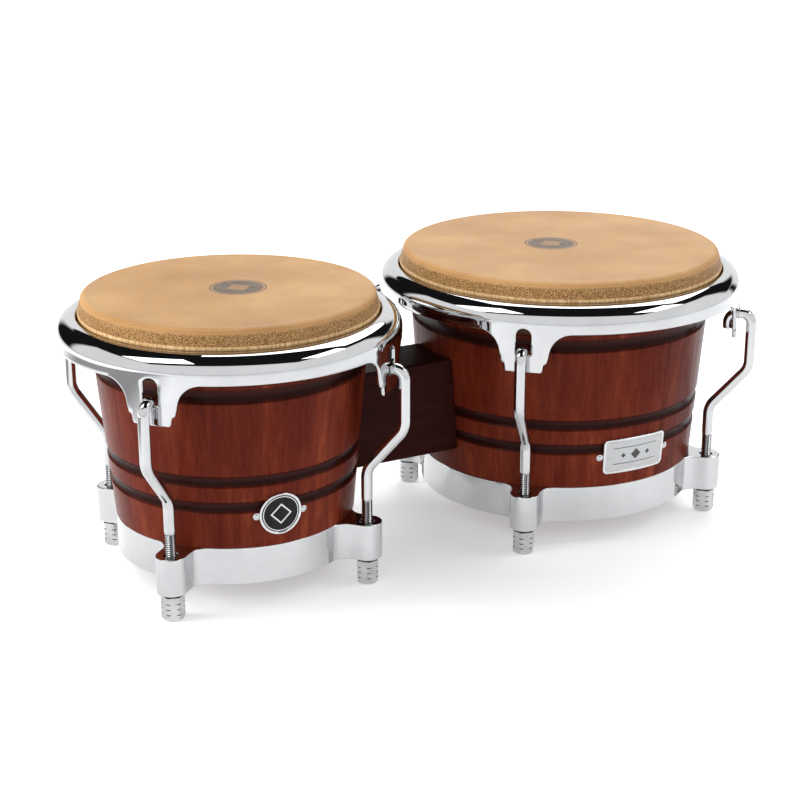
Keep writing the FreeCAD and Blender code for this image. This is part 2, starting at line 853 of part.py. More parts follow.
def make_block_inserts():
    inserts = []
    length = "dims.insert_length"
    thread = "dims.bolt_radius + dims.thread_clearance"
    for drum, height, way in insert_places():
        near = insert_start(drum, height)
        start = f"{drum_x(drum)} + {near}"
        if way < 0:
            start = f"{drum_x(drum)} - {near} - {length}"
        barrel = rod_along_x("insert_barrel", "dims.insert_radius", length, start, height)
        bore = rod_along_x("insert_thread", thread, length, start, height)
        inserts.append(cut("insert", barrel, bore))
    return subpart(group("insert_set", inserts), "block_inserts")


# ---------------------------------------------------------------- badge and nameplate


def plate_blank(drum, name, half_width=None):
    """The plate's face with its two pin tabs, as a prism along X."""
    z = f"dims.{name}_z"
    pin_y = f"dims.{name}_pin_y"
    reach = f"dims.{drum}_rim_radius"
    pieces = []
    for way in ("", "-"):
        tab = rod_along_x(f"{name}_tab", "dims.tab_radius", reach, "0", z, y=f"{way}({pin_y})")
        pieces.append(tab)
    if half_width is None:
        disc = rod_along_x(f"{name}_disc", f"dims.{name}_radius", reach, "0", z)
        return fused(f"{name}_blank", pieces + [disc])
    face = doc.addObject("Sketcher::SketchObject", f"{name}_face")
    face.Placement.Rotation = Y_TO_X
    low = f"{z} - dims.{name}_half_height"
    high = f"{z} + dims.{name}_half_height"
    corner = f"dims.{name}_round"
    outline(
        face,
        [
            (f"-{half_width}", low, corner),
            (half_width, low, corner),
            (half_width, high, corner),
            (f"-{half_width}", high, corner),
        ],
    )
    slab = doc.addObject("Part::Extrusion", f"{name}_slab")
    slab.Base = face
    slab.DirMode = "Normal"
    slab.Solid = True
    slab.setExpression("LengthFwd", reach)
    return fused(f"{name}_blank", pieces + [slab])


def radial_rod(name, radius, length, start, z, turn):
    """A cylinder pointing straight out from the drum's axis, turn degrees from X."""
    rod = bind(doc.addObject("Part::Cylinder", name), Radius=radius, Height=length)
    rod.Placement.Rotation = FreeCAD.Rotation(Z_AXIS, size(turn)).multiply(ALONG_X)
    rod.setExpression("Placement.Base.x", f"({start}) * cos({turn} * 1 deg)")
    rod.setExpression("Placement.Base.y", f"({start}) * sin({turn} * 1 deg)")
    rod.setExpression("Placement.Base.z", z)
    return rod


def make_plate(drum, name, half_width=None):
    """A thin metal plate bent to the shell, and the two pins through its tabs."""
    z = f"dims.{name}_z"
    face = shell_radius(drum, z)
    over = shell_cone(f"{name}_over", drum, "(dims.plate_gap + dims.plate_thick)")
    under = shell_cone(f"{name}_under", drum, "dims.plate_gap")
    skin = cut(f"{name}_skin", over, under)
    bent = common(f"{name}_bent", plate_blank(drum, name, half_width), skin)
    swing = f"(asin(dims.{name}_pin_y / {face}) / 1 deg)"
    hole_radius = "dims.pin_radius + dims.pin_clearance"
    top = f"{face} + dims.plate_gap + dims.plate_thick + dims.pin_stand"
    inside = f"{top} + dims.pin_head_thick / 2 - dims.pin_length"
    head_radius = "dims.pin_head_radius"
    holes = []
    pins = []
    for way in ("", "-"):
        turn = f"({way}{swing})"
        hole = radial_rod(f"{name}_pin_hole", hole_radius, "2 * dims.pin_length", inside, z, turn)
        holes.append(hole)
        shank = radial_rod(f"{name}_shank", "dims.pin_radius", "dims.pin_length", inside, z, turn)
        cap = radial_rod(f"{name}_pin_cap", head_radius, "dims.pin_head_thick", top, z, turn)
        pins.append(fused(f"{name}_pin", [shank, cap]))
    plate = cut(f"{name}_drilled", bent, fused(f"{name}_pin_holes", holes))
    place(plate, drum, f"dims.{name}_angle")
    pin_set = group(f"{name}_pin_set", pins)
    place(pin_set, drum, f"dims.{name}_angle")
    subpart(plate, f"{drum}_{name}")
    subpart(pin_set, f"{drum}_{name}_pins")


# ---------------------------------------------------------------- assembly


for drum in ("macho", "hembra"):
    make_shell(drum)
    make_bottom_ring(drum)
    make_head(drum)
    make_flesh_hoop(drum)
    make_rim(drum)
    for side in SIDES:
        make_lug(drum, side)
        make_nut(drum, side)
    make_lug_washers(drum)
    make_saddle(drum)
    make_block_bolts(drum)
    make_bolt_washers(drum)
make_block()
make_block_inserts()
make_plate("macho", "badge")
make_plate("hembra", "nameplate", "dims.nameplate_half_width")

doc.recompute()
doc.removeObject(probe.Name)
for item in doc.Objects:
    if "Invalid" in item.State or "Error" in item.State:
        raise RuntimeError(f"{item.Name} ({item.Label}) did not build: {item.State}")
os.makedirs("parts", exist_ok=True)
for piece in subparts:
    if piece.Shape.isNull() or not piece.Shape.isValid() or not piece.Shape.Solids:
        raise RuntimeError(f"{piece.Label} has no valid solid")
for piece in subparts:
    piece.Shape.exportStep(f"parts/{piece.Label}.step")
    print(f"{piece.Label}: {len(piece.Shape.Solids)} solids, {piece.Shape.Volume:.0f} mm3")
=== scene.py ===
"""The looks of a pair of bongo drums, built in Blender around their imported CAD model."""

import math
import random

import bpy
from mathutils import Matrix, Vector


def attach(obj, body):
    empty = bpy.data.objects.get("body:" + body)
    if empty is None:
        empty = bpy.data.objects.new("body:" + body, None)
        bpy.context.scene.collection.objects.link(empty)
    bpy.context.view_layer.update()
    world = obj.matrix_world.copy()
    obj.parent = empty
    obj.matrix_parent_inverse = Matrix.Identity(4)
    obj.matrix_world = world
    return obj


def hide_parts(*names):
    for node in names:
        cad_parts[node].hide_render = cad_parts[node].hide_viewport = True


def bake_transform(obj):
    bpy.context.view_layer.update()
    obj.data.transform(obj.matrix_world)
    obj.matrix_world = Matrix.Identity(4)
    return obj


MM = 0.001
STILL = "shells_and_block"
SIDES = ("front_left", "front_right", "back_right", "back_left")
DRUMS = {
    "macho": {"x": -130.85, "rim": 107.7, "low": 76.3, "top": 88.9, "turn": -4.0, "print": (-124.7, 0.3)},
    "hembra": {"x": 115.05, "rim": 123.5, "low": 94.1, "top": 104.6, "turn": 1.0, "print": (110.5, 4.3)},
}
LEFT = DRUMS["macho"]
RIGHT = DRUMS["hembra"]

# Sizes in millimetres, the same as the CAD model's.
RING_LOW, RING_TOP, RING_WALL, RING_LIP = 18.0, 42.0, 2.5, 8.0
PAD_RADIUS, PAD_HOLE, WEB_FILLET = 9.5, 4.4, 10.5
SHELL_LOW, SHELL_TOP, SHELL_WALL = 20.5, 182.7, 11.0
COVES = ((141.0, 10.0), (86.0, 8.0), (69.0, 8.0))
COVE_DEPTH = 2.0
STAVES, SEAM_DEPTH, GLUE_LINE = 16, 0.03, 0.3
CREST_DEPTH, CREST_RADIUS, BEARING_SLOPE = 6, 3.0, 4
HEAD_TOP, SKIN, CROWN_INSET, CROWN_RADIUS, COLLAR_GAP = 184.2, 1.5, 16.4, 4.2, 0.6
HOOP_RADIUS, HOOP_DROP, HOOP_ROOM = 3.0, 3.3, 6.6
RIM_TOP, RIM_WIDTH, RIM_SHEET, LIP_LOW, SKIRT_LOW = 172.0, 13.4, 2.5, 160.0, 155.5
EAR_LOW, EAR_HALF = 130.0, 11.6
SLOT_HALF, SLOT_LOW, SLOT_TOP, SLOT_BEND = 5.4, 140.0, 158.5, 1.5
LIP_RADIUS, ROLL_DROP, SHEET_BULGE = 1.7, 0.3, 0.55
ROD, THREAD_PITCH, THREAD_LOW, THREAD_TOP, THREAD_DEPTH = 3.57, 1.27, 36.0, 57.5, 0.68
LEG_GAP, LEG_OFFSET = 8.4, 25.2
CRANK_LOW, CRANK_TOP, CRANK_BEND = 76.5, 106.0, 14.0
HOOK_REACH, HOOK_BEND, HOOK_TIP, HOOK_SEAT = 15.5, 6.5, 134.0, 0.35
NUT_FLATS, NUT_HEIGHT, NUT_BORE_LOW, NUT_CUTS = 12.7, 17.0, 3.5, (4.5, 8.0, 11.5)
NUT_CUT_DEPTH, NUT_NECK = 0.7, 0.25
BLOCK_LOW, BLOCK_TOP, BLOCK_HALF, BLOCK_EDGE = 58.0, 122.0, 22.0, 1.6
# The plates' tabs and pins: half width, half height and corner radius, then levels from the
# shell outwards, each as its inset, its scale and how far it stands up.
PLATE_HEIGHT, TAB_SHAPE, PIN_SHAPE = 62.7, (2.2, 2.2, 2.1), (1.6, 1.6, 1.55)
TAB_LEVELS = ((0.2, 0.4, 0.0), (0.2, 1, 0.0), (0.0, 1, 0.2), (0.0, 1, 0.55), (0.3, 1, 0.75))
TAB_LEVELS += ((0.3, 0.4, 0.75),)
PIN_LEVELS = ((0.0, 0.5, 0.70), (0.0, 1, 0.70), (0.0, 1, 0.85), (0.15, 1, 1.10), (0.5, 1, 1.40))
PIN_LEVELS += ((0.9, 1, 1.56), (0.9, 0.5, 1.62))
FIT_GAP = 0.1

# The studio, seen from the drums. Its ceiling is dark between three softboxes. Places on it
# are given as how far they lie towards the front and to the right for each metre of height.
FRONT = (-0.482, -0.876)
WALL_LEVEL, SOFTBOX_LEVEL, FLOOR_GLOW = 1.10, 3.9, 0.37
CEILING = ((-2.2, 0.84), (-1.15, 1.15))
SOFTBOXES = {
    "back_softbox": ((-2.0, -0.38), (-0.22, 0.78)),
    "left_softbox": ((0.08, 0.60), (-1.10, -0.35)),
    "right_softbox": ((-0.20, 0.45), (0.75, 1.15)),
}
SOFTBOX_HEIGHT = 2.0
# The fill light, low on the left: its turn from the front and its rise, in degrees, then its
# distance and size in metres and its level.
FILL_TURN, FILL_RISE, FILL_DISTANCE, FILL_SIZE, FILL_LEVEL = -80, 14, 1.7, 0.6, 15.0
FRONT_WAY, LEFT_WAY = (*FRONT, 0), (FRONT[1], -FRONT[0], 0)
# A grey patch of floor on the left, which shades the rims' skirts: where it starts and ends
# aside and ahead, and how far its soft edges reach to each side of that, in metres.
GREY_ASIDE, GREY_AHEAD = (0.49, 0.80, 0.10), (-0.20, 0.72, 0.14)
# Black flags by the walls: from one turn to another round from the front, and elevations.
FLAGS = (((-152, -117), (-10, 50)), ((126, 155), (13, 40)), ((131, 141), (-10, 14)))

CAMERA_AZIMUTH, CAMERA_ELEVATION, CAMERA_DISTANCE = -28.81, 18.59, 1.17207
CAMERA_TARGET, CAMERA_LENS, CAMERA_SENSOR = (-0.00987, 0, 0.09155), 78.92, 36.0

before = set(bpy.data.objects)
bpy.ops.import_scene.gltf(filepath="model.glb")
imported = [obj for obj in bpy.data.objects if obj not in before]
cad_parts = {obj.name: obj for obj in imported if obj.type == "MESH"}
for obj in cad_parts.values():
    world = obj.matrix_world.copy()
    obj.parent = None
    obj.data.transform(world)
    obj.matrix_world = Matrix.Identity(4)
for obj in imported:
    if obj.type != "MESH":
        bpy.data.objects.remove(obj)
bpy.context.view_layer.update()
random.seed(7)


# ---- node trees


class Nodes:
    """Short calls for building a node tree."""

    def __init__(self, tree):
        self.tree = tree

    def feed(self, socket, value):
        """Link a socket to a value, or set it there. A colour gets its alpha."""
        if isinstance(value, bpy.types.NodeSocket):
            self.tree.links.new(value, socket)
        else:
            socket.default_value = (*value, 1.0) if socket.type == "RGBA" else value

    def node(self, kind, inputs=(), **settings):
        node = self.tree.nodes.new(f"ShaderNode{kind}")
        for name, value in settings.items():
            setattr(node, name, value)
        for key, value in dict(inputs).items():
            self.feed(node.inputs[key], value)
        return node

    def math(self, operation, first, second=0.0, third=0.0, clamp=False):
        inputs = {0: first, 1: second, 2: third}
        return self.node("Math", inputs, operation=operation, use_clamp=clamp).outputs[0]

    def attribute(self, name):
        return self.node("Attribute", attribute_name=name).outputs["Fac"]

    def position(self):
        return self.node("TexCoord").outputs["Object"]

    def along(self, vector, way):
        node = self.node("VectorMath", {0: vector, 1: way}, operation="DOT_PRODUCT")
        return node.outputs["Value"]

    def split(self, vector):
        return self.node("SeparateXYZ", {0: vector}).outputs

    def join(self, x, y, z):
        return self.node("CombineXYZ", {0: x, 1: y, 2: z}).outputs[0]

    def noise(self, vector, scale, detail=3.0, roughness=0.55):
        inputs = {"Vector": vector, "Scale": scale, "Detail": detail, "Roughness": roughness}
        return self.node("TexNoise", inputs).outputs["Fac"]

    def stretched(self, vector, x, y, z):
        return self.node("Mapping", {"Vector": vector, "Scale": (x, y, z)}).outputs[0]

    def spread(self, value, low, high, to_low=0.0, to_high=1.0):
        """Map low..high to to_low..to_high with soft ends."""
        inputs = {0: value, 1: low, 2: high, 3: to_low, 4: to_high}
        node = self.node("MapRange", inputs, interpolation_type="SMOOTHSTEP")
        return node.outputs[0]

    def ramp(self, value, *stops):
        node = self.node("ValToRGB", {0: value})
        elements = node.color_ramp.elements
        while len(elements) < len(stops):
            elements.new(0.5)
        for element, (at, colour) in zip(elements, stops):
            element.position = at
            element.color = (*colour, 1.0)
        return node.outputs[0]

    def mix(self, factor, first, second, blend="MIX"):
        inputs = {0: factor, 6: first, 7: second}
        return self.node("Mix", inputs, data_type="RGBA", blend_type=blend).outputs[2]

    def only_lighting(self, value):
        """Keep a value for light and reflections, and drop it where it's looked at directly."""
        seen = self.node("LightPath").outputs["Is Camera Ray"]
        return self.math("MULTIPLY", value, self.math("SUBTRACT", 1.0, seen))

    def total(self, first, *others):
        """The sum of (value, weight) pairs."""
        result = self.math("MULTIPLY", *first)
        for value, weight in others:
            result = self.math("MULTIPLY_ADD", value, weight, result)
        return result

    def apart(self, value, centre):
        return self.math("ABSOLUTE", self.math("SUBTRACT", value, centre))

    def radius(self, x, y):
        squares = (self.math("POWER", side, 2.0) for side in (x, y))
        return self.math("SQRT", self.math("ADD", *squares))

    def steps(self, x, y):
        """How far out a place is by steps across and along, which draws diamonds."""
        return self.math("ADD", self.math("ABSOLUTE", x), self.math("ABSOLUTE", y))

    def window(self, value, low, high, soft):
        """One between low and high, falling to zero over soft on each side."""
        rise = self.spread(value, low - soft, low + soft)
        return self.math("MULTIPLY", rise, self.spread(value, high + soft, high - soft))


class Shader(Nodes):
    """One material's nodes, ending in its Principled shader."""

    def __init__(self, name):
        self.material = bpy.data.materials.new(name)
        self.material.use_nodes = True
        super().__init__(self.material.node_tree)
        self.base = next(n for n in self.tree.nodes if n.type == "BSDF_PRINCIPLED")

    def set(self, **values):
        for name, value in values.items():
            self.feed(self.base.inputs[name.replace("_", " ")], value)

    def bump(self, height, distance, strength=1.0):
        inputs = {"Height": height, "Distance": distance, "Strength": strength}
        self.set(Normal=self.node("Bump", inputs).outputs[0])


# ---- materials


def stave_wood():
    """Stained mahogany staves: mottled upright grain, each its own tone, near-black coves with painted
    shade at their foot and a painted reflection across their middle.
    """
    s = Shader("stained_wood")
    x, y, z = s.split(s.position())
    arc = s.math("MULTIPLY", s.math("ARCTAN2", y, x), 0.09)
    place = s.join(s.math("ADD", arc, s.attribute("stave")), s.attribute("stave"), z)
    figure = s.noise(s.stretched(place, 1, 1, 0.22), 48.0, 3.0, 0.55)
    flame = s.noise(s.stretched(place, 1, 1, 0.16), 260.0, 4.0, 0.65)
    streak = s.noise(s.stretched(place, 1, 1, 0.05), 900.0, 3.0, 0.6)
    pores = s.noise(s.stretched(place, 1, 1, 0.16), 2100.0, 2.0, 0.55)
    grain = s.total((figure, 0.50), (flame, 0.34), (streak, 0.16))
    colour = s.ramp(
        grain,
        (0.34, (0.072, 0.0078, 0.0040)),
        (0.46, (0.107, 0.0138, 0.0060)),
        (0.55, (0.142, 0.0218, 0.0088)),
        (0.66, (0.232, 0.0475, 0.0175)),
    )
    flecks = s.spread(pores, 0.60, 0.72, 0.0, 0.30)
    colour = s.mix(flecks, colour, (0.330, 0.095, 0.045))
    pits = s.spread(pores, 0.42, 0.32, 0.0, 0.35)
    colour = s.mix(pits, colour, (0.045, 0.007, 0.005))
    tone = s.ramp(s.attribute("tone"), (0.0, (0.78, 0.74, 0.74)), (1.0, (1.16, 1.20, 1.16)))
    colour = s.mix(1.0, colour, tone, "MULTIPLY")
    # The coves are stained near-black. The ramp up each cove adds painted shade at its foot and a lighter
    # painted reflection across its middle.
    groove = s.ramp(
        s.attribute("groove"),
        (0.05, (0.0070, 0.0020, 0.0018)),
        (0.32, (0.0110, 0.0032, 0.0028)),
        (0.60, (0.0300, 0.0085, 0.0070)),
        (0.95, (0.0220, 0.0050, 0.0040)),
    )
    colour = s.mix(s.attribute("cove"), colour, groove)
    colour = s.mix(s.attribute("seam"), colour, (0.050, 0.008, 0.006))
    colour = s.mix(s.attribute("inner"), colour, (0.300, 0.125, 0.060))
    s.set(Base_Color=colour, Roughness=s.spread(flame, 0.3, 0.7, 0.26, 0.34))
    s.set(Specular_IOR_Level=0.055)
    s.bump(s.math("SUBTRACT", streak, s.math("MULTIPLY", pits, 1.5)), 0.00007, 0.22)
    return s.material


def block_wood():
    """The centre block: the same wood stained much darker, its grain along the block."""
    s = Shader("dark_wood")
    place = s.position()
    figure = s.noise(s.stretched(place, 0.12, 1, 1), 70.0, 4.0, 0.6)
    streak = s.noise(s.stretched(place, 0.04, 1, 1), 520.0, 4.0, 0.6)
    grain = s.total((figure, 0.5), (streak, 0.5))
    colour = s.ramp(
        grain,
        (0.32, (0.0130, 0.0024, 0.0020)),
        (0.52, (0.0260, 0.0050, 0.0040)),
        (0.72, (0.0420, 0.0085, 0.0065)),
    )
    s.set(Base_Color=colour, Roughness=s.spread(streak, 0.3, 0.7, 0.36, 0.46))
    s.set(Specular_IOR_Level=0.04)
    s.bump(streak, 0.00008, 0.25)
    return s.material


def bare_wood():
    s = Shader("bare_hardwood")
    place = s.position()
    figure = s.noise(s.stretched(place, 1, 1, 0.08), 160.0, 4.0, 0.6)
    colour = s.ramp(figure, (0.3, (0.36, 0.20, 0.09)), (0.7, (0.56, 0.36, 0.19)))
    s.set(Base_Color=colour, Roughness=s.spread(figure, 0.3, 0.7, 0.55, 0.7))
    s.bump(figure, 0.0002, 0.3)
    return s.material


def rawhide(name, marked):
    """Tan hide with soft mottling on top, granular and golden down the collar, with painted shade where
    its edge tucks under the rim.
    """
    s = Shader(name)
    place = s.position()
    up = s.attribute("up")
    clouds = s.noise(place, 17.0, 4.0, 0.55)
    fibres = s.noise(s.stretched(place, 1.0, 0.3, 1.0), 210.0, 4.0, 0.6)
    grains = s.noise(place, 1500.0, 2.0, 0.6)
    top = s.ramp(
        s.total((clouds, 0.75), (fibres, 0.25)),
        (0.28, (0.430, 0.222, 0.080)),
        (0.50, (0.530, 0.292, 0.115)),
        (0.72, (0.640, 0.380, 0.163)),
    )
    flecks = s.spread(s.noise(place, 420.0, 2.0, 0.5), 0.66, 0.74, 0.0, 0.30)
    top = s.mix(flecks, top, (0.42, 0.22, 0.10))
    collar = s.ramp(
        grains,
        (0.36, (0.110, 0.045, 0.013)),
        (0.50, (0.285, 0.140, 0.043)),
        (0.64, (0.560, 0.345, 0.145)),
    )
    wavy = s.math("ADD", up, s.math("MULTIPLY", s.noise(place, 120.0, 3.0, 0.6), 1.6))
    colour = s.mix(s.spread(wavy, 180.6, 183.2), collar, top)
    edge = s.math("SUBTRACT", 1.0, s.apart(wavy, 183.2))
    colour = s.mix(s.spread(edge, 0.0, 1.0, 0.0, 0.30), colour, (0.270, 0.130, 0.052))
    ticks = s.noise(s.stretched(place, 1, 1, 0.1), 700.0, 2.0, 0.5)
    ridge = s.ramp(ticks, (0.32, (0.46, 0.25, 0.095)), (0.66, (0.78, 0.55, 0.29)))
    colour = s.mix(s.attribute("ridge"), colour, ridge)
    # Painted shade: the hide's edge tucked down inside the rim is darkened, as it lies in shadow there.
    colour = s.mix(s.spread(up, 171.0, 167.0, 0.0, 0.92), colour, (0.045, 0.016, 0.010))
    if marked:
        colour = print_mark(s, colour, marked)
    s.set(Base_Color=colour, Roughness=s.spread(fibres, 0.3, 0.7, 0.46, 0.60))
    s.set(Specular_IOR_Level=0.22)
    on_collar = s.spread(up, 183.0, 180.0)
    s.bump(s.total((fibres, 0.35), (grains, on_collar)), 0.00035, 0.55)
    return s.material


def print_mark(s, colour, centre):
    """A plain printed device on the hide: a worn disc with a ring and a diamond left bare."""
    x, y, _ = s.split(s.position())
    across = s.math("SUBTRACT", x, centre[0] * MM)
    along = s.math("SUBTRACT", y, centre[1] * MM)
    far = s.radius(across, along)
    disc = s.spread(far, 0.0184, 0.0177)
    gap = s.spread(s.apart(far, 0.0164), 0.0009, 0.0004)
    diamond = s.spread(s.steps(across, along), 0.0086, 0.0080)
    ink = s.math("SUBTRACT", disc, s.math("MULTIPLY", gap, 0.75), clamp=True)
    ink = s.math("SUBTRACT", ink, s.math("MULTIPLY", diamond, 0.55), clamp=True)
    wear = s.spread(s.noise(s.position(), 520.0, 3.0, 0.6), 0.32, 0.60, 0.72, 0.95)
    return s.mix(s.math("MULTIPLY", ink, wear), colour, (0.100, 0.085, 0.072))


def metal(name, colour, low, high, scale, distance=0.0):
    """A plated metal whose gloss varies a little over its surface, with painted shade down in its cuts.
    """
    s = Shader(name)
    smudge = s.noise(s.position(), scale, 4.0, 0.6)
    lighter = tuple(min(1.0, c * 1.04) for c in colour)
    darker = tuple(c * 0.96 for c in colour)
    plating = s.ramp(smudge, (0.35, darker), (0.65, lighter))
    # Painted shade: the cut mark darkens the colour down in threads and cuts.
    s.set(Base_Color=s.mix(s.attribute("cut"), plating, (0.060, 0.058, 0.056)), Metallic=1.0)
    s.set(Roughness=s.spread(smudge, 0.35, 0.65, low, high))
    if distance:
        s.bump(smudge, distance, 0.4)
    return s.material


def nut_steel():
    """Bright steel, with painted shade down in the cuts and round the neck."""
    s = Shader("nut_steel")
    smudge = s.noise(s.position(), 190.0, 4.0, 0.6)
    steel = s.ramp(smudge, (0.3, (0.47, 0.465, 0.46)), (0.7, (0.60, 0.60, 0.595)))
    s.set(Base_Color=s.mix(s.attribute("cut"), steel, (0.050, 0.048, 0.045)), Metallic=1.0)
    s.set(Roughness=s.spread(smudge, 0.3, 0.7, 0.07, 0.15))
    return s.material


def badge_face():
    """Black enamel with a fine polished ring and a plain diamond, inside a polished border."""
    s = Shader("badge_metal")
    across, along = s.attribute("across"), s.attribute("along")
    far, steps = s.radius(across, along), s.steps(across, along)
    border = s.spread(far, 12.0, 12.2)
    ring = s.spread(s.apart(far, 11.15), 0.30, 0.20)
    diamond = s.math("MULTIPLY", s.spread(steps, 6.9, 6.7), s.spread(steps, 5.5, 5.7))
    bright = s.math("MAXIMUM", border, s.math("MAXIMUM", ring, diamond))
    smudge = s.noise(s.position(), 240.0, 3.0, 0.6)
    enamel = s.ramp(smudge, (0.3, (0.006, 0.006, 0.007)), (0.7, (0.014, 0.014, 0.015)))
    s.set(Base_Color=s.mix(bright, enamel, (0.66, 0.66, 0.67)), Metallic=bright)
    s.set(Roughness=s.spread(smudge, 0.3, 0.7, 0.10, 0.18), Specular_IOR_Level=0.15)
    return s.material


def nameplate_face():
    """Satin grey metal with a polished border, two fine rules and three plain diamonds."""
    s = Shader("nameplate_metal")
    across, along = s.attribute("across"), s.attribute("along")
    border = s.attribute("border")
    brushed = s.noise(s.stretched(s.position(), 0.06, 0.06, 1.0), 2600.0, 3.0, 0.6)
    satin = s.ramp(brushed, (0.3, (0.40, 0.405, 0.41)), (0.7, (0.54, 0.545, 0.55)))
    out, up = s.math("ABSOLUTE", across), s.math("ABSOLUTE", along)
    rules = s.spread(s.apart(up, 5.6), 0.3, 0.2)
    inside = s.spread(out, 17.0, 16.8)
    diamond = s.spread(s.steps(across, along), 3.9, 3.7)
    small = s.spread(s.steps(s.math("SUBTRACT", out, 9.5), along), 1.9, 1.7)
    etched = s.math("MAXIMUM", s.math("MULTIPLY", rules, inside), s.math("MAXIMUM", diamond, small))
    colour = s.mix(etched, satin, (0.045, 0.045, 0.048))
    s.set(Base_Color=s.mix(border, colour, (0.66, 0.66, 0.67)))
    s.set(Metallic=s.math("SUBTRACT", 1.0, s.math("MULTIPLY", etched, 0.8)))
    polish = s.math("MULTIPLY", border, 0.22)
    s.set(Roughness=s.math("SUBTRACT", s.spread(brushed, 0.3, 0.7, 0.30, 0.42), polish))
    return s.material


MATERIALS = {
    "stained_wood": stave_wood(),
    "dark_wood": block_wood(),
    "bare_hardwood": bare_wood(),
    "rawhide": rawhide("rawhide", None),
    "chrome": metal("chrome", (0.570, 0.573, 0.580), 0.022, 0.050, 38.0),
    "nut_steel": nut_steel(),
    # Painted shade: this steel is made very dark, so the washers under the pads read as the shaded gap
    # there.
    "plated_steel": metal("plated_steel", (0.15, 0.15, 0.155), 0.26, 0.40, 300.0, 0.00003),
    "hoop_steel": metal("hoop_steel", (0.50, 0.50, 0.51), 0.30, 0.45, 260.0, 0.00003),
    "brass": metal("brass", (0.72, 0.52, 0.22), 0.22, 0.34, 260.0, 0.00003),
    "badge_metal": badge_face(),
    "nameplate_metal": nameplate_face(),
}


# ---- mesh helpers


def full(drum, name):
    """A piece's or node's name with its drum's, for those that belong to one."""
    return f"{drum}_{name}" if drum else name


def mesh_from(name, verts, faces):
    """A mesh from points in millimetres."""
    mesh = bpy.data.meshes.new(name)
    mesh.from_pydata([tuple(c * MM for c in v) for v in verts], [], faces)
    return mesh


def added(name, data):
    """A new object in the scene."""
    obj = bpy.data.objects.new(name, data)
    bpy.context.scene.collection.objects.link(obj)
    return obj


def piece(drum, name, node, verts, faces, slot, body, sharp=40.0, marks=None):
    """A piece from points in millimetres round its drum's axis, in place of a CAD node."""
    mesh = mesh_from(full(drum, name), verts, faces)
    mesh.validate()
    for label, values in (marks or {}).items():
        mesh.attributes.new(label, "FLOAT", "POINT").data.foreach_set("value", values)
    return dress(mesh, drum, name, node, slot, body, sharp)


def dress(mesh, drum, name, node, slot, body, sharp):
    """Make a mesh into a shaded object on a body."""
    mesh.shade_smooth()
    mesh.set_sharp_from_angle(angle=math.radians(sharp))
    mesh.materials.append(MATERIALS[slot])
    obj = added(full(drum, name), mesh)
    if drum:
        obj.location.x = DRUMS[drum]["x"] * MM
    if body:
        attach(obj, body)
    if node:
        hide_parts(full(drum, node))
    return obj


def weighted(obj):
    """Keep flat faces flat in the shading, and let the roundings take the turn."""
    obj.modifiers.new("flat_faces", "WEIGHTED_NORMAL").keep_sharp = True


def lerp(first, last, count):
    """count + 1 points from first to last."""
    return [
        tuple(a + (b - a) * k / count for a, b in zip(first, last)) for k in range(count + 1)
    ]


def turned(x, y, angle):
    """A point turned about the upright axis."""
    cos, sin = math.cos(angle), math.sin(angle)
    return x * cos - y * sin, x * sin + y * cos


def polar(radius, angle):
    return radius * math.cos(angle), radius * math.sin(angle)


def rounded(corners, steps=6, closed=False):
    """A path of straight runs, its corners (x, y, radius) turned into tangent arcs."""
    path = []
    count = len(corners)
    for i, corner in enumerate(corners):
        radius = corner[2] if len(corner) > 2 else 0
        inner = closed or 0 < i < count - 1
        if not radius or not inner:
            path.append(corner[:2])
            continue
        here = Vector(corner[:2])
        back = (Vector(corners[i - 1][:2]) - here).normalized()
        ahead = (Vector(corners[(i + 1) % count][:2]) - here).normalized()
        half = back.angle(ahead) / 2
        reach = radius / math.tan(half)
        centre = here + (back + ahead).normalized() * (radius / math.sin(half))
        first = here + back * reach - centre
        turn = first.angle_signed(here + ahead * reach - centre)
        for step in range(steps + 1):
            path.append(tuple(centre + Vector(turned(*first, -turn * step / steps))))
    return path


def even(count):
    """Equal angles all the way round."""
    return [2 * math.pi * k / count for k in range(count)]


def quads(rows, columns, closed=False):
    """Faces between neighbouring rows of points, each row running all the way round."""
    faces = []
    for i in range(rows if closed else rows - 1):
        low, high = i * columns, (i + 1) % rows * columns
        for j in range(columns):
            k = (j + 1) % columns
            faces.append((low + j, low + k, high + k, high + j))
    return faces


def flipped(faces):
    return [face[::-1] for face in faces]


def lathe(profile, angles):
    """Turn a closed (radius, height) profile about the upright axis."""
    verts = [(*polar(radius, a), height) for radius, height in profile for a in angles]
    return verts, quads(len(profile), len(angles), closed=True)


def tube(rings, cap_last=True):
    """Skin a list of equal rings of points, and close its ends."""
    count = len(rings[0])
    verts = [point for ring in rings for point in ring]
    faces = quads(len(rings), count)
    for index in (0, len(rings) - 1)[: 2 if cap_last else 1]:
        middle = sum((Vector(p) for p in rings[index]), Vector()) / count
        verts.append(tuple(middle))
        for j in range(count):
            edge = (index * count + j, index * count + (j + 1) % count)
            faces.append((*(edge[::-1] if index == 0 else edge), len(verts) - 1))
    return verts, faces


def bolt_circle(drum):
    """How far the nuts, the pads' holes and the lugs' threads are from the drum's axis."""
    return DRUMS[drum]["rim"] + LEG_GAP - LEG_OFFSET


def lug_angles(drum):
    for number, side in enumerate(SIDES):
        yield side, math.radians(DRUMS[drum]["turn"] + 90 * number - 135)


def shell_radius(drum, height):
    share = (height - RING_TOP) / (SHELL_TOP - RING_TOP)
    return DRUMS[drum]["low"] + share * (DRUMS[drum]["top"] - DRUMS[drum]["low"])


# ---- shells and block


def cove_at(height):
    """How deep the coves are cut at a height."""
    depth = 0.0
    for middle, width in COVES:
        radius = (width**2 / 4 + COVE_DEPTH**2) / (2 * COVE_DEPTH)
        off = abs(height - middle)
        if off < radius:
            depth = max(depth, math.sqrt(radius**2 - off**2) - radius + COVE_DEPTH)
    return depth


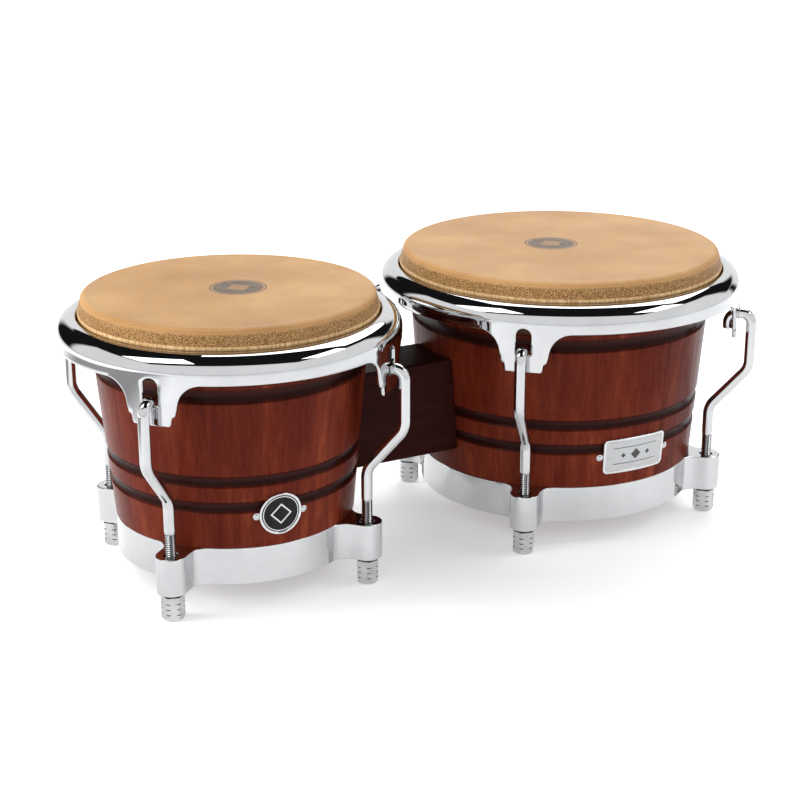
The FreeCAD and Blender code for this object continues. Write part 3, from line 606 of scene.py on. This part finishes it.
def groove_share(height):
    """How far up its nearest cove a height lies: 0 at the cove's foot, 1 at its top."""
    middle, width = min(COVES, key=lambda cove: abs(cove[0] - height))
    return min(1.0, max(0.0, 0.5 + (height - middle) / width))


def shell_heights():
    heights = []
    z = RING_TOP
    while z < SHELL_TOP - 3.2:
        near = min(abs(z - middle) for middle, _ in COVES)
        heights.append(z)
        z += 0.5 if near < 6.5 else 2.5
    return heights


def make_shell(drum):
    """Sixteen staves with fine glue lines, three turned coves and a rebated foot."""
    size = DRUMS[drum]
    foot = size["low"] - RING_WALL - FIT_GAP
    outer = [(foot, SHELL_LOW), (foot, RING_TOP)]
    outer += [(shell_radius(drum, z) - cove_at(z), z) for z in shell_heights()]
    inner_top = size["top"] - SHELL_WALL
    crest_low = SHELL_TOP - CREST_DEPTH
    crest = rounded(
        [
            (shell_radius(drum, crest_low), crest_low),
            (size["top"], SHELL_TOP, CREST_RADIUS),
            (inner_top + BEARING_SLOPE, SHELL_TOP),
        ]
    )[1:]
    crest.append((inner_top, SHELL_TOP - BEARING_SLOPE))
    inner = [
        (shell_radius(drum, z) - SHELL_WALL, z) for z in (150.0, 110.0, 70.0, 40.0, SHELL_LOW)
    ]
    profile = outer + crest + inner
    angles, staves = [], []
    half_line = GLUE_LINE / size["top"]
    step = 2 * math.pi / STAVES
    for k in range(STAVES):
        seam = math.radians(360 / STAVES * (k - 0.5))
        inside = [seam + step * (j + 1) / 9 for j in range(8)]
        for angle in (seam, seam + half_line, *inside, seam + step - half_line):
            angles.append(angle)
            staves.append((k, angle == seam))
    verts, faces = lathe(profile, angles)
    tones = [random.random() for _ in range(STAVES)]
    shaped, marks = [], []
    columns = len(angles)
    for i, (x, y, z) in enumerate(verts):
        stave, on_seam = staves[i % columns]
        outside = i // columns < len(outer) + 4
        depth = cove_at(z) if outside else 0.0
        if on_seam and outside and not depth:
            radius = math.hypot(x, y)
            x, y = x * (1 - SEAM_DEPTH / radius), y * (1 - SEAM_DEPTH / radius)
        shaped.append((x, y, z))
        cove = min(1.0, depth / COVE_DEPTH) ** 0.45
        seam, inside = (0.35 if on_seam else 0.0), (0.0 if outside else 1.0)
        marks.append((stave * 0.37, tones[stave], cove, groove_share(z), seam, inside))
    labels = ("stave", "tone", "cove", "groove", "seam", "inner")
    marks = dict(zip(labels, zip(*marks)))
    piece(drum, "stave_shell", "shell", shaped, faces, "stained_wood", STILL, 50, marks)


def make_block():
    """The block: a softened box whose ends are scooped to the two shells."""
    steps = 10
    half, low, top, edge = BLOCK_HALF, BLOCK_LOW, BLOCK_TOP, BLOCK_EDGE
    corners = [(-half, low, edge), (half, low, edge), (half, top, edge), (-half, top, edge)]
    path = rounded(corners, 4, closed=True)
    outline = []
    for i, start in enumerate(path):
        end = path[(i + 1) % len(path)]
        parts = 12 if math.dist(start, end) > 10 else 1
        outline += lerp(start, end, parts)[:-1]

    def end_x(drum, y, z, out):
        reach = math.sqrt(max(0.0, (shell_radius(drum, z) + 0.15 + out) ** 2 - y**2))
        return LEFT["x"] + reach if drum == "macho" else RIGHT["x"] - reach

    def ring(drum, share, out=0.0):
        middle = (low + top) / 2
        points = []
        for y, z in outline:
            y, z = y * share, middle + (z - middle) * share
            points.append((end_x(drum, y, z, out), y, z))
        return points

    rings = [ring("macho", s) for s in (0.25, 0.5, 0.75, 0.9, 0.985)]
    start, stop = ring("macho", 1.0, 1.2), ring("hembra", 1.0, 1.2)
    rings += zip(*(lerp(first, last, steps) for first, last in zip(start, stop)))
    rings += [ring("hembra", s) for s in (0.985, 0.9, 0.75, 0.5, 0.25)]
    verts, faces = tube(rings)
    block = piece(None, "scooped_block", "center_block", verts, faces, "dark_wood", STILL, 35)
    weighted(block)


# ---- bottom rings


def ring_outline(drum):
    """The ring seen from above: round, with four pads on filleted webs."""
    radius = DRUMS[drum]["low"]
    nose = PAD_RADIUS - FIT_GAP
    side = PAD_RADIUS + WEB_FILLET
    near = math.sqrt((radius + WEB_FILLET) ** 2 - side**2)
    swing = math.atan2(side, near)
    local = []
    for step in range(9):
        angle = math.pi + swing + (math.pi / 2 - swing) * step / 8
        local.append((near + WEB_FILLET * math.cos(angle), side + WEB_FILLET * math.sin(angle)))
    tip = bolt_circle(drum) + PAD_RADIUS
    for step in range(13):
        angle = math.pi / 2 * (1 - step / 12)
        local.append((tip - nose + nose * math.cos(angle), FIT_GAP + nose * math.sin(angle)))
    pad = [(x, -y) for x, y in local] + local[::-1]
    gap = math.pi / 2 - 2 * swing
    points = []
    for _, centre in lug_angles(drum):
        points += [turned(x, y, centre) for x, y in pad]
        for step in range(1, 28):
            angle = centre + swing + gap * step / 28
            points.append(polar(radius, angle))
    return points


def flat_plate(name, loops, low, high, edge):
    """A plate between two heights from closed outlines, with rounded edges."""
    curve = bpy.data.curves.new(name, "CURVE")
    curve.dimensions = "2D"
    curve.fill_mode = "BOTH"
    curve.extrude = (high - low) / 2 * MM - edge * MM
    curve.bevel_depth = edge * MM
    curve.bevel_resolution = 3
    curve.offset = -edge * MM
    for loop in loops:
        spline = curve.splines.new("POLY")
        spline.points.add(len(loop) - 1)
        for point, (x, y) in zip(spline.points, loop):
            point.co = (x * MM, y * MM, 0, 1)
        spline.use_cyclic_u = True
    holder = added(name, curve)
    bpy.context.view_layer.update()
    mesh = bpy.data.meshes.new_from_object(holder)
    bpy.data.objects.remove(holder)
    bpy.data.curves.remove(curve)
    for vertex in mesh.vertices:
        vertex.co.z += (high + low) / 2 * MM
    return mesh


def circle_points(x, y, radius, count):
    return [(x + radius * math.cos(a), y + radius * math.sin(a)) for a in even(count)]


def make_bottom_ring(drum):
    size = DRUMS[drum]
    loops = [ring_outline(drum), circle_points(0, 0, size["low"] - RING_WALL, 160)]
    for _, angle in lug_angles(drum):
        loops.append(circle_points(*turned(bolt_circle(drum), 0, angle), PAD_HOLE, 24))
    mesh = flat_plate(f"{drum}_ring", loops, RING_LOW, RING_TOP, 0.7)
    weighted(dress(mesh, drum, "padded_ring", "bottom_ring", "chrome", STILL, 60))
    outer, inner = size["low"] - 1.0, size["low"] - RING_LIP
    under, over = RING_LOW + 0.05, RING_LOW + RING_WALL - 0.05
    section = rounded([(outer, under), (inner, under, 0.8), (inner, over, 0.8), (outer, over)])
    verts, faces = lathe(section, even(160))
    piece(drum, "ring_lip", None, verts, flipped(faces), "chrome", STILL)


# ---- heads


def make_head(drum):
    """Rawhide: a nearly flat top, a steep rough collar, and the edge tucked round its hoop."""
    size = DRUMS[drum]
    crown = size["rim"] - CROWN_INSET
    collar = size["rim"] - RIM_WIDTH - COLLAR_GAP
    under = LIP_LOW - HOOP_RADIUS - FIT_GAP - HOOP_DROP
    past = collar + HOOP_ROOM
    radii = [crown * k / 26 for k in range(1, 26)]
    skin_top = [(r, HEAD_TOP) for r in radii]
    tuck_top = RIM_TOP - 0.5
    edge = rounded([(0, HEAD_TOP), (crown, HEAD_TOP, CROWN_RADIUS), (collar, tuck_top)], 10)[1:-1]
    side = [(crown + (collar - crown) * t, 181.5 - 6.9 * t) for t in (0.35, 0.6, 0.8)]
    ridge = ((-0.35, 174.3), (0.05, 174.0), (0.30, 173.3), (0.30, 172.6), (0.0, tuck_top))
    ridge = [(collar + out, z) for out, z in ridge]
    bends = [(collar, tuck_top), (collar, under, 2.0), (past, under, 2.0), (past, LIP_LOW)]
    bends += [(past + SKIN, LIP_LOW), (past + SKIN, under - SKIN, 3.5)]
    bends += [(collar - SKIN, under - SKIN, 3.5), (collar - SKIN, tuck_top)]
    tuck = rounded(bends + [(crown - SKIN, SHELL_TOP, 1.7)], 5)[1:]
    lining = [(r * (crown - SKIN) / crown, SHELL_TOP) for r in reversed(radii[::2])]
    profile = skin_top + edge + side + ridge + tuck + lining
    columns = 192
    verts, faces = lathe(profile, even(columns))
    last_row = len(profile) - 1
    faces = [f for f in faces if not (f[0] // columns == last_row and f[2] // columns == 0)]
    pairs = [(j, (j + 1) % columns) for j in range(columns)]
    verts.append((0, 0, HEAD_TOP))
    faces += [(b, a, len(verts) - 1) for a, b in pairs]
    start = last_row * columns
    verts.append((0, 0, SHELL_TOP))
    faces += [(start + a, start + b, len(verts) - 1) for a, b in pairs]
    shaped, marks = [], {"up": [], "ridge": []}
    top_rows = (len(skin_top) + len(edge) + len(side) + len(ridge)) * columns
    phase = [random.uniform(0, 6.28) for _ in range(4)]
    for i, (x, y, z) in enumerate(verts):
        marks["up"].append(z)
        radius = math.hypot(x, y)
        on_ridge = i < top_rows and 172.2 < z < 174.15 and radius > crown
        marks["ridge"].append(1.0 if on_ridge else 0.0)
        if i < len(skin_top) * columns or i == len(verts) - 2:
            wave = math.sin(x / 23 + phase[0]) * math.sin(y / 31 + phase[1])
            z -= 0.12 * (1 + wave) * (1 - (radius / crown) ** 4)
        elif i < top_rows and z < 182:
            angle = math.atan2(y, x)
            sway = 0.12 * math.sin(9 * angle + phase[2]) + 0.08 * math.sin(23 * angle + phase[3])
            share = max(0.0, 1 + (sway - 0.2) / radius)
            x, y = x * share, y * share
        shaped.append((x, y, z))
    faces = flipped(faces)
    head = piece(drum, "rawhide", "head_skin", shaped, faces, "rawhide", None, 60, marks)
    head.data.materials[0] = rawhide(f"{drum}_rawhide_printed", size["print"])
    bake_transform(head)


# ---- rims


class Sheet:
    """Sheet metal: matching outer and inner faces, with full rounded edges between them."""

    def __init__(self):
        self.outer, self.inner, self.faces, self.known = [], [], [], {}

    def point(self, angle, outer, inner):
        key = tuple(round(c, 6) for c in (math.cos(angle), math.sin(angle)))
        key += tuple(round(c, 4) for c in outer)
        if key not in self.known:
            self.known[key] = len(self.outer)
            for store, (radius, height) in ((self.outer, outer), (self.inner, inner)):
                store.append((*polar(radius, angle), height))
        return self.known[key]

    def rows(self, first, second):
        """Quads between two rows of points."""
        for a, b, c, d in zip(first, first[1:], second[1:], second):
            if len({a, b, c, d}) == 4:
                self.faces.append((a, b, c, d))

    def solid(self, bulge):
        count = len(self.outer)
        verts = [Vector(v) for v in self.outer + self.inner]
        faces = list(self.faces)
        faces += [tuple(i + count for i in reversed(f)) for f in self.faces]
        seen = {}
        for face in self.faces:
            for a, b in zip(face, face[1:] + face[:1]):
                seen.setdefault(frozenset((a, b)), []).append((a, b, face))
        rim = [uses[0] for uses in seen.values() if len(uses) == 1]
        push = {}
        for a, b, face in rim:
            middle = sum((verts[i] for i in face), Vector()) / len(face)
            along = (verts[b] - verts[a]).normalized()
            out = (verts[a] + verts[b]) / 2 - middle
            out = (out - along * out.dot(along)).normalized()
            for index in (a, b):
                push[index] = push.get(index, Vector()) + out
        steps = 5
        ladders = {}
        for index, out in push.items():
            top, low = verts[index], verts[index + count]
            ladder = [index]
            for step in range(1, steps):
                turn = math.pi * step / steps
                share = (1 - math.cos(turn)) / 2
                verts.append(top.lerp(low, share) + out.normalized() * (bulge * math.sin(turn)))
                ladder.append(len(verts) - 1)
            ladders[index] = ladder + [index + count]
        for a, b, _ in rim:
            left, right = ladders[a], ladders[b]
            for low, high in zip(range(steps), range(1, steps + 1)):
                faces.append((right[low], left[low], left[high], right[high]))
        return [tuple(v) for v in verts], faces


def make_rim(drum):
    """A rolled channel whose skirt runs down into four ears slotted for the lugs."""
    outer_radius = DRUMS[drum]["rim"]
    roll = RIM_WIDTH - LIP_RADIUS - FIT_GAP
    low = RIM_TOP - roll - ROLL_DROP

    def channel(inset, lip, bend):
        """The rim's section, at a depth into its sheet: lip, top, rolled edge and skirt."""
        inner, outer, top = outer_radius - RIM_WIDTH + inset, outer_radius - inset, RIM_TOP - inset
        return rounded([(inner, LIP_LOW), (inner, top, lip), (outer, top, bend), (outer, low)], 14)

    outside = channel(0, LIP_RADIUS, roll)
    inside = channel(RIM_SHEET, 0.1, 8.2)
    wall = Sheet()
    quarter = outer_radius * math.pi / 4
    slot_centre = SLOT_TOP - SLOT_HALF

    def slot_edge(turn):
        return SLOT_HALF * math.sin(turn), slot_centre + SLOT_HALF * math.cos(turn)

    turns = [math.pi / 4 * k / 3 for k in range(7)]
    arch = [slot_edge(turn) for turn in turns[:4]]
    flat, bend, lean = SLOT_HALF - SLOT_BEND, SLOT_BEND, math.sin(math.pi / 4)
    sill = [(0, SLOT_LOW), (2, SLOT_LOW), (flat, SLOT_LOW)]
    sill.append((flat + bend * lean, SLOT_LOW + bend * (1 - lean)))
    bends = [(60.0, SKIRT_LOW), (EAR_HALF + 6.8, SKIRT_LOW, 15.0), (EAR_HALF + 3.7, EAR_LOW + 9.4)]
    skirt = rounded(bends, 11)[1:]
    bends = [skirt[-1], (EAR_HALF + 2.9, EAR_LOW + 6.4, 0.8), (EAR_HALF + 0.9, EAR_LOW + 5.0, 0.8)]
    notch = rounded(bends + [(EAR_HALF, EAR_LOW, 1.2), (0, EAR_LOW)], 3)
    foot_z = notch[-2][1]
    edge = skirt + notch[1:-1]
    beside = [slot_edge(turn) for turn in turns[3:]]
    drop = len(skirt) - 6
    beside += lerp((SLOT_HALF, slot_centre), (SLOT_HALF, SLOT_LOW + bend), drop)[1:]
    beside.append(sill[-1])
    span = 9

    def mirrored(row):
        """A half row from the centre line, with its mirror image."""
        return [(-x, z) for x, z in row[:0:-1]] + row

    def laid(row, centre):
        """A row of (along, height) places wrapped round the rim's wall."""
        return [
            wall.point(centre + x / outer_radius, (outer_radius, z), (outer_radius - RIM_SHEET, z))
            for x, z in row
        ]

    collar_end = lerp((skirt[0][0], SKIRT_LOW), (quarter, SKIRT_LOW), 12)
    above = arch + lerp(arch[-1], skirt[0], span)[1:] + collar_end[1:]
    across = [x for x, _ in above]
    ear_rows = [lerp(a, b, span) for a, b in zip(beside[1:], edge[1:])]
    under = sill + lerp(sill[-1], edge[len(beside) - 1], span)[1:]
    rest = edge[len(beside) :]
    lower_rows = []
    for number, (x_end, z_end) in enumerate(rest):
        share = ((number + 1) / len(rest)) ** 0.6
        row = [(x / under[-1][0] * x_end, z + (z_end - z) * share) for x, z in under[:-1]]
        lower_rows.append(row + [(x_end, z_end)])
    bottom = [(x, EAR_LOW) for x, _ in lower_rows[-1][:-1]]
    bottom.append((lower_rows[-1][-1][0], foot_z))
    for _, centre in lug_angles(drum):
        columns = [-x for x in across[:0:-1]] + across
        previous = None
        for out_spot, in_spot in zip(outside, inside):
            row = [wall.point(centre + x / outer_radius, out_spot, in_spot) for x in columns]
            if previous:
                wall.rows(row, previous)
            previous = row
        middle = [(x, (z + low) / 2) for x, z in above]
        for band in (middle, above):
            row = laid(mirrored(band), centre)
            wall.rows(row, previous)
            previous = row
        for way in (1, -1):
            side_rows = [laid([(way * x, z) for x, z in lerp(arch[-1], skirt[0], span)], centre)]
            side_rows += [laid([(way * x, z) for x, z in row], centre) for row in ear_rows]
            for pair in zip(side_rows, side_rows[1:]):
                wall.rows(*pair[::-way])
        previous = laid(mirrored(under), centre)
        for band in lower_rows[:-1] + [bottom]:
            row = laid(mirrored(band), centre)
            wall.rows(row, previous)
            previous = row
    verts, faces = wall.solid(SHEET_BULGE)
    piece(drum, "eared_rim", "rim", verts, faces, "chrome", f"{drum}_tension_set", 60)


# ---- lugs and nuts


def make_lug(drum, side, angle):
    """A rod with a cut thread at its foot, cranked outwards and hooked down at its top."""
    leg, foot = DRUMS[drum]["rim"] + LEG_GAP, bolt_circle(drum)
    hook_z = SLOT_LOW + ROD + HOOK_SEAT
    tip = leg - HOOK_REACH
    thread_step = THREAD_PITCH / 8
    path = [(foot, 8.0), (foot, 8.8), (foot, THREAD_LOW - 0.4)]
    steps = round((THREAD_TOP - THREAD_LOW) / thread_step)
    path += [(foot, THREAD_LOW + k * thread_step) for k in range(steps)]
    bends = [(foot, THREAD_TOP + 0.6), (foot, CRANK_LOW, CRANK_BEND), (leg, CRANK_TOP, CRANK_BEND)]
    bends += [(leg, hook_z, HOOK_BEND), (tip, hook_z, HOOK_BEND), (tip, HOOK_TIP)]
    path += rounded(bends, 12)
    path += [(tip, HOOK_TIP - 0.7), (tip, HOOK_TIP - 1.0)]
    narrow = {0: 0.75, 1: 1.0, len(path) - 2: 0.88, len(path) - 1: 0.62}
    rings, cut_shade = [], []
    around = even(28)
    for i, (r, z) in enumerate(path):
        before, after = path[max(0, i - 1)], path[min(len(path) - 1, i + 1)]
        run = Vector((after[0] - before[0], after[1] - before[1])).normalized()
        ring = []
        for a in around:
            radius, cut = ROD * narrow.get(i, 1.0), 0.0
            if THREAD_LOW <= z <= THREAD_TOP:
                turn = (z / THREAD_PITCH - a / (2 * math.pi)) % 1.0
                cut = (1 - abs(2 * turn - 1)) * min(1.0, (THREAD_TOP - z) / 2.0)
                radius -= THREAD_DEPTH * cut + 0.05
            out, across = polar(radius, a)
            ring.append((*turned(r + out * run.y, across, angle), z - out * run.x))
            # Painted shade down in the thread: the deeper the cut, the darker.
            cut_shade.append(cut**2.5)
        rings.append(ring)
    verts, faces = tube(rings)
    cut_shade += [0.0] * (len(verts) - len(cut_shade))
    names, body = (f"rod_{side}", f"lug_{side}"), f"{drum}_tension_set"
    piece(drum, *names, verts, faces, "chrome", body, 50, {"cut": cut_shade})


def make_nut(drum, side, angle):
    """A long hexagon nut: cuts across its corners, a rounded foot, a neck and a blind bore."""
    corner = NUT_FLATS / 2 / math.cos(math.pi / 6)
    bore = ROD + 0.06
    blunt = corner - 0.12
    levels = [(0.0, corner - 2.4, 0), (0.25, corner - 1.7, 0), (0.8, corner - 0.95, 0)]
    levels += [(1.6, corner - 0.35, 0), (2.4, blunt, 0)]
    for low in NUT_CUTS:
        deep = corner - NUT_CUT_DEPTH
        levels += [(low, blunt, 0), (low + 0.12, deep, 1), (low + 0.5, deep, 1)]
        levels.append((low + 0.62, blunt, 0))
    neck = NUT_FLATS / 2 - NUT_NECK
    levels += [(NUT_HEIGHT - 1.1, blunt, 0), (NUT_HEIGHT - 0.85, neck, 1), (NUT_HEIGHT, neck, 1)]
    around = even(72)
    rings, cut_shade = [], []
    for z, reach, cut in levels:
        ring = []
        for a in around:
            flat = NUT_FLATS / 2 / math.cos(a % (math.pi / 3) - math.pi / 6)
            radius = min(flat, reach)
            ring.append((*polar(radius, a), z))
            # Painted shade in the cuts and round the neck, where they sink inside the corners.
            cut_shade.append(float(cut and flat > reach))
        rings.append(ring)
    for radius, z in ((bore + 0.5, NUT_HEIGHT), (bore, NUT_HEIGHT - 0.5), (bore, NUT_BORE_LOW)):
        rings.append([(*polar(radius, a), z) for a in around])
    verts, faces = tube(rings)
    cut_shade += [0.0] * (len(verts) - len(cut_shade))
    placed = [(*turned(bolt_circle(drum) + x, y, angle), z) for x, y, z in verts]
    names, body = (f"foot_nut_{side}", f"nut_{side}"), f"{drum}_nut_{side}"
    piece(drum, *names, placed, faces, "nut_steel", body, 28, {"cut": cut_shade})


# ---- badge and nameplate


def rounded_loop(half_width, half_height, radius, count=10):
    """A closed loop round a rounded rectangle, the same number of points for any size."""
    loop = []
    for k, (sx, sy) in enumerate(((1, 1), (-1, 1), (-1, -1), (1, -1))):
        for step in range(count + 1):
            angle = math.pi / 2 * (k + step / count)
            x = sx * (half_width - radius) + radius * math.cos(angle)
            y = sy * (half_height - radius) + radius * math.sin(angle)
            loop.append((x, y))
    dense = []
    for i, start in enumerate(loop):
        parts = 6 if i % (count + 1) == count else 1
        dense += lerp(start, loop[(i + 1) % len(loop)], parts)[:-1]
    return dense


def bent_plate(drum, centre, height, shape, levels, shift=0.0, border=0.0):
    """A plate's skin from levels above the shell, wrapped round it: verts, faces and marks."""
    half_width, half_height, radius = shape
    base = shell_radius(drum, height) + FIT_GAP
    rings, marks = [], []
    for inset, shrink, up in levels:
        loop = rounded_loop(half_width - inset, half_height - inset, max(0.25, radius - inset))
        ring = []
        for x, y in loop:
            x, y = x * shrink + shift, y * shrink
            marks.append((x, y, 1.0 if inset < border and shrink == 1 else 0.0))
            z = height + y
            reach = base + shell_radius(drum, z) - shell_radius(drum, height) + up
            ring.append((*polar(reach, centre + x / base), z))
        rings.append(ring)
    verts, faces = tube(rings)
    return verts, faces, marks + [(shift, 0.0, 0.0)] * 2


def joined(parts):
    """Several (verts, faces, marks) as one, its marks by name."""
    verts, faces, marks = [], [], []
    for part_verts, part_faces, part_marks in parts:
        faces += [tuple(i + len(verts) for i in face) for face in part_faces]
        verts += part_verts
        marks += part_marks
    return verts, faces, dict(zip(("across", "along", "border"), zip(*marks)))


def make_plate(drum, kind, centre, shape, pin_at, border):
    """A pressed plate with a raised border and two tabs, and its two domed pins."""
    place = (drum, math.radians(centre), PLATE_HEIGHT)
    levels = [(0.3, 0.5, 0.0)]
    levels += [(inset, 1, up) for inset, up in ((0.3, 0.0), (0.0, 0.3), (0.0, 0.75), (0.25, 1.10))]
    levels += [(0.7, 1, 1.30), (border - 0.7, 1, 1.30), (border - 0.25, 1, 1.12)]
    levels += [(border, 1, 0.72), (border + 0.15, 1, 0.65)]
    levels += [(border + 0.15, shrink, 0.65) for shrink in (0.9, 0.75, 0.6, 0.45, 0.3, 0.15)]
    parts = [bent_plate(*place, shape, levels, border=border)]
    parts += [bent_plate(*place, TAB_SHAPE, TAB_LEVELS, at, 9.0) for at in (pin_at, -pin_at)]
    verts, faces, marks = joined(parts)
    names, slot = (f"pressed_{kind}", kind), f"{kind}_metal"
    piece(drum, *names, verts, faces, slot, STILL, 40, marks)
    pins = [bent_plate(*place, PIN_SHAPE, PIN_LEVELS, at) for at in (pin_at, -pin_at)]
    verts, faces, _ = joined(pins)
    names = (f"{kind}_domed_pins", f"{kind}_pins")
    piece(drum, *names, verts, faces, "chrome", STILL, 60)


# ---- assembly


for drum in DRUMS:
    make_shell(drum)
    make_bottom_ring(drum)
    make_head(drum)
    make_rim(drum)
    for side, angle in lug_angles(drum):
        make_lug(drum, side, angle)
        make_nut(drum, side, angle)
make_block()
make_plate("macho", "badge", -93.0, (13.7, 13.7, 13.6), 15.2, 1.5)
make_plate("hembra", "nameplate", -90.2, (23.9, 12.2, 3.5), 26.3, 1.9)

KEPT_PARTS = {
    "flesh_hoop": "hoop_steel",
    "lug_washers": "plated_steel",
    "inner_saddle": "bare_hardwood",
    "block_bolts": "plated_steel",
    "bolt_washers": "plated_steel",
}
kept_nodes = {f"{drum}_{part}": slot for drum in DRUMS for part, slot in KEPT_PARTS.items()}
kept_nodes["block_inserts"] = "brass"
for node, slot in kept_nodes.items():
    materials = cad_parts[node].data.materials
    materials.clear()
    materials.append(MATERIALS[slot])


# ---- floor, light and camera


def make_floor():
    """A pale floor, wide enough to fill the view behind the drums, that glows a little to lighten its
    shadows.
    """
    radii = (20, 400, 2000, 9000)
    rings = [[(*polar(radius, a), -0.05) for a in even(96)] for radius in radii]
    verts, faces = tube(rings, cap_last=False)
    mesh = mesh_from("floor", verts, flipped(faces))
    s = Shader("floor")
    grain = s.noise(s.position(), 60.0, 3.0, 0.5)
    aside = s.window(s.along(s.position(), LEFT_WAY), *GREY_ASIDE)
    grey = s.math("MULTIPLY", aside, s.window(s.along(s.position(), FRONT_WAY), *GREY_AHEAD))
    grey = s.only_lighting(grey)
    paper = s.ramp(grain, (0.3, (0.93, 0.935, 0.94)), (0.7, (0.95, 0.955, 0.96)))
    s.set(Base_Color=s.mix(grey, paper, (0.26, 0.262, 0.265)))
    s.set(Roughness=0.8, Specular_IOR_Level=0.15)
    s.set(Emission_Color=s.mix(grey, (0.96, 0.98, 1.0), (0.12, 0.12, 0.12)))
    # Painted light: the floor glows, which lightens the shadows cast on it.
    s.set(Emission_Strength=FLOOR_GLOW)
    mesh.materials.append(s.material)
    floor = added("floor", mesh)


def make_world():
    """White walls, a dark ceiling and black flags, which the chrome reflects as its bands."""
    world = bpy.data.worlds.new("studio")
    world.use_nodes = True
    s = Nodes(world.node_tree)
    place = s.node("TexCoord").outputs["Generated"]
    _, _, height = s.split(place)
    ways = [s.along(place, way) for way in (FRONT_WAY, (-FRONT[1], FRONT[0], 0))]
    overhead = s.math("MAXIMUM", height, 0.001)
    dark = s.spread(height, 0.02, 0.08)
    for way, (low, high) in zip(ways, CEILING):
        spot = s.math("DIVIDE", way, overhead)
        dark = s.math("MULTIPLY", dark, s.window(spot, low, high, 0.05))
    turn = s.math("ARCTAN2", ways[1], ways[0])
    for turns, elevations in FLAGS:
        wide = s.window(turn, *(math.radians(a) for a in turns), math.radians(4))
        tall = s.window(height, *(math.sin(math.radians(a)) for a in elevations), 0.04)
        dark = s.math("MAXIMUM", dark, s.math("MULTIPLY", wide, tall))
    background = next(n for n in s.tree.nodes if n.type == "BACKGROUND")
    walls = s.mix(s.only_lighting(dark), (0.985, 0.993, 1.0), (0.010, 0.010, 0.011))
    s.tree.links.new(walls, background.inputs[0])
    background.inputs[1].default_value = WALL_LEVEL
    bpy.context.scene.world = world


def studio_place(ahead, aside, up):
    """A place from how far it lies towards the front, to the right and up."""
    x = FRONT[0] * ahead - FRONT[1] * aside
    y = FRONT[1] * ahead + FRONT[0] * aside
    return Vector((x, y, up))


def area_light(name, width, depth, level, place):
    """A rectangular light facing down, of a given brightness whatever its size."""
    light = bpy.data.lights.new(name, "AREA")
    light.shape = "RECTANGLE"
    light.size, light.size_y = width, depth
    light.energy = level * math.pi * width * depth
    lamp = added(name, light)
    lamp.location = place
    return lamp


def make_softbox(name, along, across):
    """A level softbox overhead, between two places towards the front and two to the right."""
    width, depth = ((high - low) * SOFTBOX_HEIGHT for low, high in (across, along))
    ahead, aside = (sum(ends) / 2 * SOFTBOX_HEIGHT for ends in (along, across))
    place = studio_place(ahead, aside, SOFTBOX_HEIGHT + 0.1)
    box = area_light(name, width, depth, SOFTBOX_LEVEL, place)
    box.rotation_euler = (0, 0, math.atan2(FRONT[0], -FRONT[1]))


def make_fill():
    """A soft fill from low on the left, which warms the wood and stays out of the chrome."""
    turn, rise = math.radians(FILL_TURN), math.radians(FILL_RISE)
    flat = math.cos(rise)
    way = studio_place(math.cos(turn) * flat, math.sin(turn) * flat, math.sin(rise))
    place = way * FILL_DISTANCE + Vector((0, 0, 0.1))
    fill = area_light("left_fill", FILL_SIZE, FILL_SIZE, FILL_LEVEL, place)
    fill.rotation_euler = way.to_track_quat("Z", "Y").to_euler()
    fill.visible_glossy = False


def make_camera():
    camera_data = bpy.data.cameras.new("camera")
    camera_data.lens = CAMERA_LENS
    camera_data.sensor_width = CAMERA_SENSOR
    camera = added("camera", camera_data)
    azimuth, elevation = math.radians(CAMERA_AZIMUTH), math.radians(CAMERA_ELEVATION)
    flat = math.cos(elevation)
    back = Vector((math.sin(azimuth) * flat, -math.cos(azimuth) * flat, math.sin(elevation)))
    camera.location = Vector(CAMERA_TARGET) + back * CAMERA_DISTANCE
    camera.rotation_euler = back.to_track_quat("Z", "Y").to_euler()
    bpy.context.scene.camera = camera


make_floor()
make_world()
make_fill()
for name, (along, across) in SOFTBOXES.items():
    make_softbox(name, along, across)
make_camera()
bpy.context.scene.view_settings.view_transform = "Standard"
